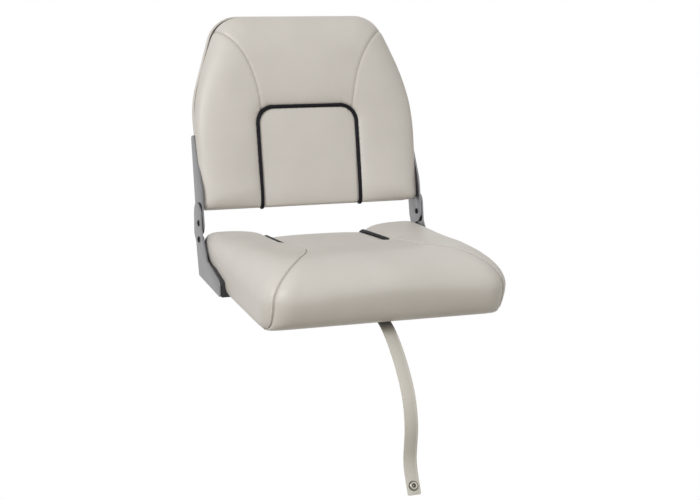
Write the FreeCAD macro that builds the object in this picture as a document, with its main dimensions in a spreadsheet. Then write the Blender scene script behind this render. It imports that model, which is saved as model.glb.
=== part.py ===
import FreeCAD, Part
import Sketcher
import math
import os
from types import SimpleNamespace

# Folding boat seat in millimetres and degrees, +Z up, the front of the seat towards -Y.
# The origin is the middle of the four mounting holes, on the underside of the base.
# The back is drawn upright in its own frame: Y is the distance behind the hinge pins, Z the
# height above them. Its placement leans it back on the pins.

DIMENSIONS = {
    # Hinge line and the plates on it
    "pivot_y": 186.0,
    "fold_nest": 11.0,
    "recline": 12.9,
    "bracket_outer": 213.0,
    "bracket_plate": 3.0,
    "arm_plate": 3.0,
    "washer_plate": 1.0,
    "washer_play": 0.1,
    "washer_radius": 9.0,
    "pin_radius": 3.0,
    "pin_fit": 0.06,
    "pin_head_radius": 5.0,
    "pin_head_rise": 2.6,
    "stop_drop": 30.0,
    "stop_radius": 4.0,
    "stop_fit": 0.2,
    # Outline of the lower bracket, measured from the hinge pin or from the seat's own frame
    "foot_front": 21.0,
    "foot_height": 27.0,
    "bend_ahead": 62.0,
    "bend_height": 43.0,
    "neck_ahead": 22.0,
    "neck_below": 15.0,
    "lobe_ahead": 13.0,
    "lobe_above": 35.0,
    "lobe_behind": 40.0,
    "lobe_below": 28.0,
    "waist_behind": 25.0,
    "waist_below": 37.0,
    "foot_behind": 4.0,
    "toe_round": 4.0,
    "instep_round": 12.0,
    "bend_round": 24.0,
    "neck_round": 24.0,
    "lobe_front_round": 20.0,
    "lobe_back_round": 26.0,
    "lobe_low_round": 12.0,
    "waist_round": 9.0,
    "foot_heel_round": 5.0,
    "bracket_flange": 35.0,
    "bracket_flange_setback": 13.0,
    "bracket_flange_round": 8.0,
    "bracket_screw_inset": 20.0,
    "screw_margin": 18.0,
    "screw_radius": 2.5,
    "screw_fit": 0.1,
    "screw_head_radius": 4.7,
    "screw_head_rise": 2.4,
    "screw_length": 14.0,
    # Outline of the hinge arm, measured from the pin
    "arm_ahead": 20.0,
    "arm_top": 160.0,
    "arm_top_behind": 14.0,
    "arm_knee": 60.0,
    "heel_drop": 37.0,
    "heel_inset": 12.0,
    "hip_drop": 5.0,
    "heel_front_round": 4.0,
    "heel_rear_round": 8.0,
    "hip_round": 20.0,
    "arm_top_rear_round": 6.0,
    "arm_top_front_round": 10.0,
    "knee_round": 40.0,
    "nose_round": 19.9,
    "heel_root_round": 2.5,
    "arm_flange": 28.0,
    "arm_flange_low": 34.0,
    "arm_flange_setback": 10.0,
    "arm_flange_round": 7.0,
    "arm_screw_inset": 16.0,
    "arm_screw_length": 9.0,
    # Moulded base
    "base_half": 186.0,
    "base_front": -205.0,
    "base_ahead_of_pin": 2.0,
    "base_corner": 24.0,
    "base_height": 20.0,
    "base_deck": 5.0,
    "base_rib": 4.0,
    "base_wall": 10.0,
    "pad_lead": 3.0,
    "pad_root": 8.0,
    "pad_height": 36.0,
    "pad_gap": 0.2,
    "boss_radius": 12.0,
    "mount_pitch": 127.0,
    "insert_radius": 5.0,
    "insert_bore": 3.0,
    "insert_length": 14.0,
    "insert_fit": 0.05,
    # Seat cushion
    "seat_side_gap": 6.0,
    "seat_shoulder": 33.0,
    "seat_draw_in": 11.0,
    "seat_front": -258.0,
    "seat_behind_pin": 10.0,
    "seat_bottom": 2.0,
    "seat_nose": 72.0,
    "seat_front_roll": 88.0,
    "seat_rear_roll": 36.0,
    "seat_tuck": 46.0,
    "seat_rear_tuck": 10.0,
    "seat_corner_front": 53.0,
    "seat_corner_rear": 34.0,
    "seat_nose_draw": 96.0,
    "seat_tail_draw": 40.0,
    "seat_crest_rear": 88.0,
    "seat_rise": 22.0,
    "seat_tail": 40.0,
    "seat_dish_rear": 9.0,
    "seat_dish_front": 1.5,
    "seat_panel_half": 93.0,
    "seat_panel_front": 8.0,
    "panel_corner": 30.0,
    "seat_panel_drop": 12.0,
    "vinyl": 1.2,
    "lining": 0.3,
    "piping_radius": 3.3,
    "piping_play": 0.2,
    "seat_seam_start": 155.0,
    "seat_seam_middle": 87.0,
    "seat_seam_end": 5.0,
    "seat_seam_start_out": 6.0,
    "seat_seam_middle_out": 27.0,
    "seat_seam_end_out": 88.0,
    # Back, measured from the hinge pin along the leaning back
    "back_bottom": 23.0,
    "back_top": 376.0,
    "back_side_gap": 2.9,
    "back_flare": 3.5,
    "back_wide_height": 219.0,
    "back_wide_round": 120.0,
    "back_wide_ease": 1.6,
    "back_top_half": 156.6,
    "back_shoulder": 45.0,
    "back_bottom_corner": 10.0,
    "shell_rear": 36.0,
    "shell_plate": 10.0,
    "shell_lip": 3.0,
    "shell_edge": 3.5,
    "back_depth": 46.0,
    "back_foot_depth": 28.0,
    "back_edge_depth": 4.0,
    "back_bottom_roll": 50.0,
    "back_top_roll": 90.0,
    "back_face_roll": 22.0,
    "back_draw_in": 5.0,
    "back_dish": 5.0,
    "back_panel_half": 94.0,
    "back_panel_top": 204.0,
    "back_panel_drop": 9.5,
    "back_seam_start": 135.0,
    "back_seam_middle": 72.0,
    "back_seam_end": 28.0,
    "back_seam_middle_out": 22.0,
    "back_seam_end_out": 66.0,
    # Hold-down strap and its press stud
    "strap_x": 8.0,
    "strap_width": 22.0,
    "strap_gauge": 2.4,
    "strap_end_round": 8.8,
    "strap_screw_y": -151.0,
    "strap_washer_radius": 8.0,
    "strap_washer_plate": 1.5,
    "snap_from_end": 14.0,
    "snap_radius": 7.6,
    "snap_post": 2.0,
    "snap_rise": 3.0,
    "snap_rim": 0.9,
    "snap_fit": 0.25,
    "snap_lip": 0.8,
    "snap_cap_rise": 2.2,
    "stud_post": 4.0,
    "stud_rise": 4.2,
    "stud_below_top": 28.0,
}

# Middle line of the hanging strap as (y, z) points, from under the base to the free end.
STRAP_ROUTE = [
    (-142.0, -1.5), (-172.0, -1.5), (-201.0, -8.0), (-228.0, -22.0), (-254.0, -40.0),
    (-277.0, -60.0), (-297.0, -82.0), (-311.0, -108.0), (-318.0, -138.0), (-315.0, -168.0),
    (-312.5, -187.0), (-316.0, -205.0), (-325.5, -223.5), (-335.5, -241.0),
]

CELLS_ACROSS = 5
CELLS_ALONG = 5
SCREWS_PER_SIDE = 3
SIDES = {"left": -1, "right": 1}

# Shares that shape a cushion's cross section, whatever its size
FULL_RISE = 100.0
BULGE_SHARE = 0.42
MAX_SHOULDER = 0.42
DISH_SHARE = 0.75
SHOULDER_LEAN = 0.06
MIN_DEPTH = 1.5

# Where cross sections stand along the seat and the back, as shares of each roll or straight:
# close together on the outside, further apart in the layers that nobody sees
OUTSIDE = SimpleNamespace(
    flats=3, seat_front=(0.4, 0.7, 0.9, 0.99), seat_middle=(0.0,), seat_rear=(0.0, 0.65, 0.97),
    back_bottom=(0.0, 0.6, 1.0), back_middle=(), back_top=(0.0, 0.45, 0.75, 0.94, 0.99),
)
INSIDE = SimpleNamespace(
    flats=2, seat_front=(0.58, 0.9, 0.985), seat_middle=(0.0,), seat_rear=(0.0, 0.75, 0.97),
    back_bottom=(0.0, 0.6, 1.0), back_middle=(), back_top=(0.0, 0.6, 0.9, 0.985),
)

# How far the seat's piping turns down over the rear roll, in radians, and how much wider
# than its roll the back's piping turns
PIPING_END_TURN = 0.95
PIPING_END_SPREAD = 2.0
PIPING_SIDES = 6

# Domed heads, screw heads and the press stud, as shares of their radius or height
HEAD_SIDE_SHARE = 0.45
HEAD_CROWN_SHARE = 0.72
SNAP_CROWN_SHARE = 0.6
SNAP_RING_SHARE = 0.78
SNAP_MOUTH_SHARE = 0.42
STUD_BULB_SHARE = 0.95

# Sides of the screws and inserts, and of small turned pieces that are drawn in flats
HEXAGON = 6
TURNED = 12

# A strap bend takes this share of the shorter of its two runs
BEND_SHARE = 0.45

# Cutters reach this far past what they cut
REACH = 40.0
EDGE_TOLERANCE = 0.01

doc = FreeCAD.newDocument("BoatSeat")
sheet = doc.addObject("Spreadsheet::Sheet", "dims")
for row, (alias, number) in enumerate(DIMENSIONS.items(), start=1):
    sheet.set("A%d" % row, alias)
    sheet.set("B%d" % row, str(number))
    sheet.setAlias("B%d" % row, alias)
doc.recompute()


class Size:
    """A length or angle known both as a number and as a formula over the sheet."""

    def __init__(self, value, formula):
        self.value = value
        self.formula = formula

    def __add__(self, other):
        other = size(other)
        return Size(self.value + other.value, "(%s + %s)" % (self.formula, other.formula))

    def __sub__(self, other):
        other = size(other)
        return Size(self.value - other.value, "(%s - %s)" % (self.formula, other.formula))

    def __mul__(self, other):
        other = size(other)
        return Size(self.value * other.value, "(%s * %s)" % (self.formula, other.formula))

    def __truediv__(self, other):
        other = size(other)
        return Size(self.value / other.value, "(%s / %s)" % (self.formula, other.formula))

    def __neg__(self):
        return self * -1

    def __radd__(self, other):
        return size(other) + self

    def __rsub__(self, other):
        return size(other) - self

    def __rmul__(self, other):
        return size(other) * self


def size(number):
    """Wrap a plain number so that it mixes with sizes from the sheet."""
    if isinstance(number, Size):
        return number
    return Size(float(number), "(%r)" % float(number))


def sine(angle):
    """Sine of an angle in degrees."""
    return Size(math.sin(math.radians(angle.value)), "sin(%s)" % angle.formula)


d = SimpleNamespace(**{name: Size(float(sheet.get(name)), "dims." + name) for name in DIMENSIONS})

# Sizes that follow from the driving ones
d.bracket_inner = d.bracket_outer - d.bracket_plate
d.arm_outer = d.bracket_inner - d.washer_plate - d.washer_play
d.arm_inner = d.arm_outer - d.arm_plate
d.shell_front = d.shell_rear - d.shell_plate
d.pivot_z = d.seat_crest_rear + d.back_depth - d.shell_front - d.fold_nest
d.heel_front = d.stop_drop * sine(d.recline) + d.stop_radius + d.stop_fit
d.flange_rear = d.shell_rear + d.arm_plate
d.arm_flange_high = d.arm_top - d.arm_flange_setback
d.base_rear = d.pivot_y - d.base_ahead_of_pin
d.pad_front = d.foot_front - d.pad_lead
d.bracket_flange_front = d.foot_front + d.bracket_flange_setback
d.bracket_flange_rear = d.base_rear - d.bracket_flange_setback / 2
d.seat_half = d.bracket_inner - d.seat_side_gap
d.seat_rear = d.pivot_y + d.seat_behind_pin
d.seat_crest_front = d.seat_crest_rear + d.seat_rise
d.back_bottom_half = d.arm_inner - d.back_side_gap
d.back_wide_half = d.back_bottom_half + d.back_flare
d.stud_height = d.back_top - d.stud_below_top
v = SimpleNamespace(**{name: length.value for name, length in vars(d).items()})
nodes = []


# Drawing helpers

def keep(thing, label):
    """Name a finished sub-part and put it on the list that is written out."""
    thing.Label = label
    nodes.append(thing)
    return thing


def bind(thing, path, length):
    """Set one property from a size and tie it to the sheet."""
    thing.setExpression(path, size(length).formula)


def new_body(name):
    """Start a solid built from sketches."""
    return doc.addObject("PartDesign::Body", name)


def new_sketch(body, plane, offset=0.0):
    """Add a sketch on one of the body's own origin planes, moved along its normal."""
    sketch = body.newObject("Sketcher::SketchObject", body.Name + "Sketch")
    support = next(item for item in body.Origin.OriginFeatures if item.Role == plane)
    sketch.AttachmentSupport = [(support, "")]
    sketch.MapMode = "FlatFace"
    bind(sketch, "AttachmentOffset.Base.z", offset)
    return sketch


def point_rules(geometry, vertex, across, along):
    """Pair the two distances that fix a sketch point from the origin with their formulas."""
    pairs = (("DistanceX", size(across)), ("DistanceY", size(along)))
    return [(Sketcher.Constraint(kind, -1, 1, geometry, vertex, length.value), length.formula)
            for kind, length in pairs]


def add_rules(sketch, rules):
    """Add constraints in one go and tie each that has a formula to the sheet."""
    first = sketch.ConstraintCount
    sketch.addConstraint([rule for rule, _ in rules])
    for index, (_, formula) in enumerate(rules, start=first):
        if formula:
            sketch.setExpression("Constraints[%d]" % index, formula)


def add_polygon(sketch, corners):
    """Draw a closed polygon with every corner tied to the sheet."""
    first = sketch.GeometryCount
    count = len(corners)
    points = [FreeCAD.Vector(size(x).value, size(y).value, 0) for x, y in corners]
    sides = [Part.LineSegment(points[index], points[(index + 1) % count]) for index in range(count)]
    sketch.addGeometry(sides, False)
    rules = []
    for index, (x, y) in enumerate(corners):
        following = first + (index + 1) % count
        rules.append((Sketcher.Constraint("Coincident", first + index, 2, following, 1), None))
        rules += point_rules(first + index, 1, x, y)
    add_rules(sketch, rules)


def add_rectangle(sketch, left, right, low, high):
    """Draw an upright rectangle between four edges."""
    add_polygon(sketch, [(left, low), (right, low), (right, high), (left, high)])


def add_circle(sketch, x, y, radius):
    """Draw a circle with its centre and radius tied to the sheet."""
    centre = FreeCAD.Vector(size(x).value, size(y).value, 0)
    circle = Part.Circle(centre, FreeCAD.Vector(0, 0, 1), size(radius).value)
    geometry = sketch.addGeometry(circle, False)
    bore = Sketcher.Constraint("Radius", geometry, size(radius).value)
    add_rules(sketch, point_rules(geometry, 3, x, y) + [(bore, size(radius).formula)])


def add_flats(sketch, x, y, radius, sides):
    """Draw an even polygon inside a circle, with a corner towards +X."""
    turns = [math.tau * corner / sides for corner in range(sides)]
    add_polygon(sketch, [(x + radius * math.cos(turn), y + radius * math.sin(turn)) for turn in turns])


def add_feature(body, kind, sketch, length, backwards=False):
    """Pad or pocket a sketch by a length."""
    feature = body.newObject("PartDesign::" + kind, body.Name + kind)
    feature.Profile = sketch
    feature.Reversed = backwards
    bind(feature, "Length", length)
    sketch.Visibility = False
    return feature


def ease_edges(body, kind, wanted):
    """Fillet or chamfer the edges of the body's last feature that a test picks out."""
    doc.recompute()
    base = body.Tip
    names = ["Edge%d" % number for number, edge in enumerate(base.Shape.Edges, start=1) if wanted(edge)]
    if not names:
        raise RuntimeError("no edge to ease on " + body.Name)
    feature = body.newObject("PartDesign::" + kind, body.Name + kind)
    feature.Base = (base, names)
    return feature


def round_edges(body, radius, wanted):
    """Round edges by a radius."""
    bind(ease_edges(body, "Fillet", wanted), "Radius", radius)


def bevel_edges(body, width, wanted):
    """Bevel edges by a width."""
    bind(ease_edges(body, "Chamfer", wanted), "Size", width)


def upright_at(axis, first, second):
    """Make a test for a straight edge along an axis that passes a point given by the other two."""
    others = [index for index in range(3) if index != axis]
    target = (size(first).value, size(second).value)

    def passes(edge):
        ends = [vertex.Point for vertex in edge.Vertexes]
        if len(ends) != 2:
            return False
        misses = [abs(end[index] - aim) for end in ends for index, aim in zip(others, target)]
        return max(misses) < EDGE_TOLERANCE

    return passes


def round_corners(body, axis, corners):
    """Fillet upright edges, each given as its place and radius."""
    for first, second, radius in corners:
        round_edges(body, radius, upright_at(axis, first, second))


def stack(name, steps):
    """Build a turned piece on the body's own Z axis from steps of radius, low and high, in flats."""
    body = new_body(name)
    for radius, low, high in steps:
        sketch = new_sketch(body, "XY_Plane", low)
        add_flats(sketch, size(0.0), size(0.0), radius, TURNED)
        add_feature(body, "Pad", sketch, high - low)
    return body


def bore(body, radius, low, high, sides):
    """Cut a hole of flat sides, or a round one, on a turned piece's axis."""
    sketch = new_sketch(body, "XY_Plane", low)
    if sides:
        add_flats(sketch, size(0.0), size(0.0), radius, sides)
    else:
        add_circle(sketch, 0.0, 0.0, radius)
    add_feature(body, "Pocket", sketch, high - low, backwards=True)


def place(thing, x=0.0, y=0.0, z=0.0, axis=(1, 0, 0), angle=0.0):
    """Bind a sub-part's place and turn to the sheet."""
    thing.Placement = FreeCAD.Placement(
        FreeCAD.Vector(size(x).value, size(y).value, size(z).value),
        FreeCAD.Rotation(FreeCAD.Vector(*axis), size(angle).value),
    )
    for path, length in (("Placement.Base.x", x), ("Placement.Base.y", y), ("Placement.Base.z", z)):
        bind(thing, path, length)
    if isinstance(angle, Size):
        bind(thing, "Placement.Rotation.Angle", angle)


def place_back(thing):
    """Lean a sub-part of the back on the hinge pins."""
    place(thing, y=d.pivot_y, z=d.pivot_z, axis=(-1, 0, 0), angle=d.recline)


def group(label, members):
    """Join identical separate solids in one node."""
    compound = doc.addObject("Part::Compound", label)
    compound.Links = members
    return keep(compound, label)


# Hinge: brackets on the base, arms on the back, pins and washers between them

strap_underside = size(STRAP_ROUTE[0][1]) - d.strap_gauge / 2


def plate_plane(side, inner, outer):
    """Give the sketch plane from which a side plate grows towards +X."""
    return inner if side > 0 else -outer


def make_bracket(label, side):
    """Build one lower hinge bracket: a shaped side plate with a flange under the base."""
    body = new_body(label)
    plane = plate_plane(side, d.bracket_inner, d.bracket_outer)
    outline = {
        "toe": (d.foot_front, size(0.0)),
        "instep": (d.foot_front, d.foot_height),
        "bend": (d.pivot_y - d.bend_ahead, d.bend_height),
        "neck": (d.pivot_y - d.neck_ahead, d.pivot_z - d.neck_below),
        "lobe_front": (d.pivot_y - d.lobe_ahead, d.pivot_z + d.lobe_above),
        "lobe_back": (d.pivot_y + d.lobe_behind, d.pivot_z + d.lobe_above),
        "lobe_low": (d.pivot_y + d.lobe_behind, d.pivot_z - d.lobe_below),
        "waist": (d.pivot_y + d.waist_behind, d.pivot_z - d.waist_below),
        "heel": (d.pivot_y + d.foot_behind, size(0.0)),
    }
    radii = {
        "instep": d.instep_round, "bend": d.bend_round, "neck": d.neck_round,
        "lobe_front": d.lobe_front_round, "lobe_back": d.lobe_back_round, "lobe_low": d.lobe_low_round,
        "waist": d.waist_round, "heel": d.foot_heel_round, "toe": d.toe_round,
    }
    sketch = new_sketch(body, "YZ_Plane", plane)
    add_polygon(sketch, list(outline.values()))
    add_feature(body, "Pad", sketch, d.bracket_plate)
    round_corners(body, 0, [(*outline[name], radius) for name, radius in radii.items()])
    sketch = new_sketch(body, "XY_Plane")
    inside = d.bracket_outer - d.bracket_flange
    ends = (d.bracket_flange_front, d.bracket_flange_rear)
    add_rectangle(sketch, side * inside, side * d.bracket_outer, *ends)
    add_feature(body, "Pad", sketch, d.bracket_plate)
    round_corners(body, 2, [(side * inside, end, d.bracket_flange_round) for end in ends])
    sketch = new_sketch(body, "YZ_Plane", plane)
    add_circle(sketch, d.pivot_y, d.pivot_z, d.pin_radius + d.pin_fit)
    add_circle(sketch, d.pivot_y, d.pivot_z - d.stop_drop, d.pin_radius + d.pin_fit)
    add_feature(body, "Pocket", sketch, d.bracket_plate, backwards=True)
    sketch = new_sketch(body, "XY_Plane")
    for along in bracket_screw_places():
        across = side * (d.bracket_outer - d.bracket_screw_inset)
        add_flats(sketch, across, along, d.screw_radius + d.screw_fit, HEXAGON)
    add_feature(body, "Pocket", sketch, d.bracket_plate, backwards=True)
    return keep(body, label)


def spread(first, last):
    """Space one side's screws evenly between the first and the last."""
    pitch = (last - first) / (SCREWS_PER_SIDE - 1)
    return [first + pitch * index for index in range(SCREWS_PER_SIDE)]


def bracket_screw_places():
    """List where the flange screws stand from front to rear."""
    return spread(d.bracket_flange_front + d.screw_margin, d.bracket_flange_rear - d.screw_margin)


def arm_screw_places():
    """List where the arm's screws stand from bottom to top."""
    return spread(d.arm_flange_low + d.screw_margin, d.arm_flange_high - d.screw_margin)


def make_arm(label, side):
    """Build one hinge arm: a tapered side plate with a stop heel and a flange behind the shell."""
    body = new_body(label)
    plane = plate_plane(side, d.arm_inner, d.arm_outer)
    outline = {
        "heel_front": (d.heel_front, -d.heel_drop),
        "heel_rear": (d.flange_rear - d.heel_inset, -d.heel_drop),
        "hip": (d.flange_rear, -d.hip_drop),
        "top_rear": (d.flange_rear, d.arm_top),
        "top_front": (d.arm_top_behind, d.arm_top),
        "knee": (-d.arm_ahead, d.arm_knee),
        "nose": (-d.arm_ahead, -d.arm_ahead),
        "heel_root": (d.heel_front, -d.arm_ahead),
    }
    radii = {
        "heel_front": d.heel_front_round, "heel_rear": d.heel_rear_round, "hip": d.hip_round,
        "top_rear": d.arm_top_rear_round, "top_front": d.arm_top_front_round,
        "knee": d.knee_round, "nose": d.nose_round, "heel_root": d.heel_root_round,
    }
    sketch = new_sketch(body, "YZ_Plane", plane)
    add_polygon(sketch, list(outline.values()))
    add_feature(body, "Pad", sketch, d.arm_plate)
    round_corners(body, 0, [(*outline[name], radius) for name, radius in radii.items()])
    sketch = new_sketch(body, "XZ_Plane", -d.flange_rear)
    inside = d.arm_outer - d.arm_flange
    add_rectangle(sketch, side * inside, side * d.arm_outer, d.arm_flange_low, d.arm_flange_high)
    add_feature(body, "Pad", sketch, d.arm_plate)
    ends = (d.arm_flange_low, d.arm_flange_high)
    round_corners(body, 1, [(side * inside, end, d.arm_flange_round) for end in ends])
    sketch = new_sketch(body, "YZ_Plane", plane)
    add_circle(sketch, 0.0, 0.0, d.pin_radius + d.pin_fit)
    add_feature(body, "Pocket", sketch, d.arm_plate, backwards=True)
    sketch = new_sketch(body, "XZ_Plane", -d.flange_rear)
    across = d.arm_outer - d.arm_screw_inset
    for up in arm_screw_places():
        add_flats(sketch, side * across, up, d.screw_radius + d.screw_fit, HEXAGON)
    add_feature(body, "Pocket", sketch, d.arm_plate, backwards=True)
    place_back(body)
    return keep(body, label)


def make_rivet(name, side, below, collar):
    """Build one hinge pin across the plates, with a domed head outside and a peened one inside."""
    inner_seat = d.arm_inner - d.washer_play
    head = d.pin_head_radius
    step = d.bracket_outer + d.pin_head_rise * HEAD_SIDE_SHARE
    body = stack(name, [(head, inner_seat - d.pin_head_rise, inner_seat)])
    if collar:
        sketch = new_sketch(body, "XY_Plane", inner_seat)
        add_flats(sketch, size(0.0), size(0.0), d.stop_radius, TURNED)
        add_feature(body, "Pad", sketch, d.bracket_inner - inner_seat)
    sketch = new_sketch(body, "XY_Plane", inner_seat)
    add_circle(sketch, 0.0, 0.0, d.pin_radius)
    add_feature(body, "Pad", sketch, d.bracket_outer - inner_seat)
    crown = (head * HEAD_CROWN_SHARE, step, d.bracket_outer + d.pin_head_rise)
    for radius, low, high in ((head, d.bracket_outer, step), crown):
        sketch = new_sketch(body, "XY_Plane", low)
        add_flats(sketch, size(0.0), size(0.0), radius, TURNED)
        add_feature(body, "Pad", sketch, high - low)
    place(body, y=d.pivot_y, z=d.pivot_z - below, axis=(0, 1, 0), angle=side * 90.0)
    return body


def make_washer(name, side):
    """Build one spacer washer on a hinge pin."""
    low = d.bracket_inner - d.washer_plate
    body = stack(name, [(d.washer_radius, low, d.bracket_inner)])
    bore(body, d.pin_radius + d.pin_fit, low, d.bracket_inner, None)
    place(body, y=d.pivot_y, z=d.pivot_z, axis=(0, 1, 0), angle=side * 90.0)
    return body


def make_screw(name, length):
    """Build one hex-head screw standing on the underside of its head, its shank in six flats."""
    body = new_body(name)
    head = (d.screw_head_radius, d.screw_head_rise, True)
    shank = (d.screw_radius, length, False)
    for radius, reach, backwards in (head, shank):
        sketch = new_sketch(body, "XY_Plane")
        add_flats(sketch, size(0.0), size(0.0), radius, HEXAGON)
        add_feature(body, "Pad", sketch, reach, backwards)
    return body


def make_hinges():
    """Build both hinges with their pins, washers and screws."""
    pieces = {"pivot_rivets": [], "stop_pins": [], "pivot_washers": [], "base_screws": [], "arm_screws": []}
    for word, side in SIDES.items():
        end = word.title()
        make_bracket("hinge_bracket_" + word, side)
        make_arm("hinge_arm_" + word, side)
        pieces["pivot_rivets"].append(make_rivet("PivotRivet" + end, side, size(0.0), collar=False))
        pieces["stop_pins"].append(make_rivet("StopPin" + end, side, d.stop_drop, collar=True))
        pieces["pivot_washers"].append(make_washer("PivotWasher" + end, side))
        for number, along in enumerate(bracket_screw_places()):
            screw = make_screw("BaseScrew%s%d" % (end, number), d.screw_length)
            place(screw, x=side * (d.bracket_outer - d.bracket_screw_inset), y=along)
            pieces["base_screws"].append(screw)
        for number, up in enumerate(arm_screw_places()):
            screw = make_screw("ArmScrew%s%d" % (end, number), d.arm_screw_length)
            place(screw, x=side * (d.arm_outer - d.arm_screw_inset), y=d.flange_rear, z=up, angle=90.0)
            pieces["arm_screws"].append(screw)
    screw = make_screw("BaseScrewStrap", d.screw_length)
    place(screw, x=d.strap_x, y=d.strap_screw_y, z=strap_underside - d.strap_washer_plate)
    pieces["base_screws"].append(screw)
    for label, members in pieces.items():
        thing = group(label, members)
        if label == "arm_screws":
            place_back(thing)


# Moulded base with its inserts

def mount_places():
    """List the four mounting holes of the square pattern."""
    half = d.mount_pitch / 2
    return [(half * across, half * along) for across in (-1, 1) for along in (-1, 1)]


def make_base(label):
    """Build the base: a ribbed deck with side pads for the hinge brackets and bosses for inserts."""
    body = new_body(label)
    sketch = new_sketch(body, "XY_Plane")
    add_rectangle(sketch, -d.base_half, d.base_half, d.base_front, d.base_rear)
    add_feature(body, "Pad", sketch, d.base_height)
    ends = (d.base_front, d.base_rear)
    round_corners(body, 2, [(side * d.base_half, end, d.base_corner) for side in (-1, 1) for end in ends])
    pad_outer = d.bracket_inner - d.pad_gap
    pad_inner = d.base_half - d.pad_root
    sketch = new_sketch(body, "XY_Plane")
    for side in SIDES.values():
        add_rectangle(sketch, side * pad_inner, side * pad_outer, d.pad_front, d.base_rear)
    add_feature(body, "Pad", sketch, d.pad_height)
    sketch = new_sketch(body, "XY_Plane")
    for side in SIDES.values():
        shelf = side * (d.bracket_outer - d.bracket_flange - d.pad_gap)
        rear = d.bracket_flange_rear + d.pad_gap
        add_rectangle(sketch, shelf, side * d.bracket_outer, d.bracket_flange_front - d.pad_gap, rear)
    add_feature(body, "Pocket", sketch, d.bracket_plate, backwards=True)
    add_cells(body)
    sketch = new_sketch(body, "XY_Plane")
    for x, y in mount_places():
        add_circle(sketch, x, y, d.boss_radius)
    add_circle(sketch, d.strap_x, d.strap_screw_y, d.boss_radius)
    add_feature(body, "Pad", sketch, d.base_height)
    sketch = new_sketch(body, "XY_Plane")
    for x, y in mount_places():
        add_flats(sketch, x, y, d.insert_radius + d.insert_fit, HEXAGON)
    add_feature(body, "Pocket", sketch, d.insert_length, backwards=True)
    sketch = new_sketch(body, "XY_Plane")
    add_flats(sketch, d.strap_x, d.strap_screw_y, d.screw_radius + d.screw_fit, HEXAGON)
    for side in SIDES.values():
        for along in bracket_screw_places():
            across = side * (d.bracket_outer - d.bracket_screw_inset)
            add_flats(sketch, across, along, d.screw_radius + d.screw_fit, HEXAGON)
    add_feature(body, "Pocket", sketch, d.screw_length + d.screw_radius, backwards=True)
    return keep(body, label)


def add_cells(body):
    """Hollow the underside into a grid of square cells between ribs."""
    left = -d.base_half + d.base_wall
    front = d.base_front + d.base_wall
    pitch_x = (left * -2 + d.base_rib) / CELLS_ACROSS
    pitch_y = (d.base_rear - d.base_wall - front + d.base_rib) / CELLS_ALONG
    sketch = new_sketch(body, "XY_Plane")
    for across in range(CELLS_ACROSS):
        start = left + pitch_x * across
        add_rectangle(sketch, start, start + pitch_x - d.base_rib, front, front + pitch_y - d.base_rib)
    row = add_feature(body, "Pocket", sketch, d.base_height - d.base_deck, backwards=True)
    pattern = body.newObject("PartDesign::LinearPattern", body.Name + "Cells")
    pattern.Originals = [row]
    pattern.Direction = (sketch, ["V_Axis"])
    pattern.Occurrences = CELLS_ALONG
    bind(pattern, "Length", pitch_y * (CELLS_ALONG - 1))
    body.Tip = pattern


def make_inserts(label):
    """Build the four hexagonal inserts, with a plain bore at the thread's outer size."""
    inserts = []
    for number, (x, y) in enumerate(mount_places()):
        insert = new_body("MountInsert%d" % number)
        sketch = new_sketch(insert, "XY_Plane")
        add_flats(sketch, x, y, d.insert_radius, HEXAGON)
        add_feature(insert, "Pad", sketch, d.insert_length)
        sketch = new_sketch(insert, "XY_Plane")
        add_circle(sketch, x, y, d.insert_bore)
        add_feature(insert, "Pocket", sketch, d.insert_length, backwards=True)
        inserts.append(insert)
    group(label, inserts)


# Cushions: lofts through cross sections of lines and arcs

def point(x, y, z):
    """Shorten the making of a point."""
    return FreeCAD.Vector(x, y, z)


def line(start, end):
    """Give a straight edge."""
    return Part.LineSegment(start, end).toShape()


def arc(start, middle, end):
    """Give a circular edge through three points."""
    return Part.Arc(start, middle, end).toShape()


def fall(share):
    """Give the height of a quarter ellipse at a share of its length."""
    return math.sqrt(max(0.0, 1.0 - share * share))


def cross_section(put, half, shoulder, draw_in, low, top, dip, flats):
    """Draw one section of a cushion: flat foot, bulged sides, shoulders in flats and a dished face."""
    rise = top - low
    scale = rise / FULL_RISE
    roll = min(shoulder, rise * MAX_SHOULDER)
    edge = half - roll * SHOULDER_LEAN
    outline = [(half - draw_in * scale, low), (half, low + rise * BULGE_SHARE)]
    for step in range(flats + 1):
        angle = math.pi / 2 * step / flats
        outline.append((edge - roll + roll * math.cos(angle), top - roll + roll * math.sin(angle)))
    if dip:
        outline.append(((edge - roll) / 2, top - dip * scale * DISH_SHARE))
    right = [put(across, up) for across, up in outline]
    left = [put(-across, up) for across, up in outline]
    left.reverse()
    face = [right[-1], left[0]]
    if dip:
        face.insert(1, put(0.0, top - dip * scale))
    spots = right + face[1:] + left[1:]
    return Part.makePolygon(spots + spots[:1])


def prism(outline, direction):
    """Extrude a closed outline of edges."""
    return Part.Face(Part.Wire(outline)).extrude(direction)


def panel_outline(put, half, corner, closed_end, open_end):
    """Draw a panel with two round corners at its closed end and a straight open end."""
    way = 1.0 if closed_end > open_end else -1.0
    shoulder = closed_end - way * corner
    slant = corner * (1.0 - math.sqrt(0.5))
    right = [put(half, open_end), put(half, shoulder), put(half - slant, closed_end - way * slant)]
    right.append(put(half - corner, closed_end))
    left = [put(-half, open_end), put(-half, shoulder), put(-half + slant, closed_end - way * slant)]
    left.append(put(-half + corner, closed_end))
    edges = [line(right[0], right[1]), arc(*right[1:4]), line(right[3], left[3])]
    edges += [arc(left[3], left[2], left[1]), line(left[1], left[0]), line(left[0], right[0])]
    return edges


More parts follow.
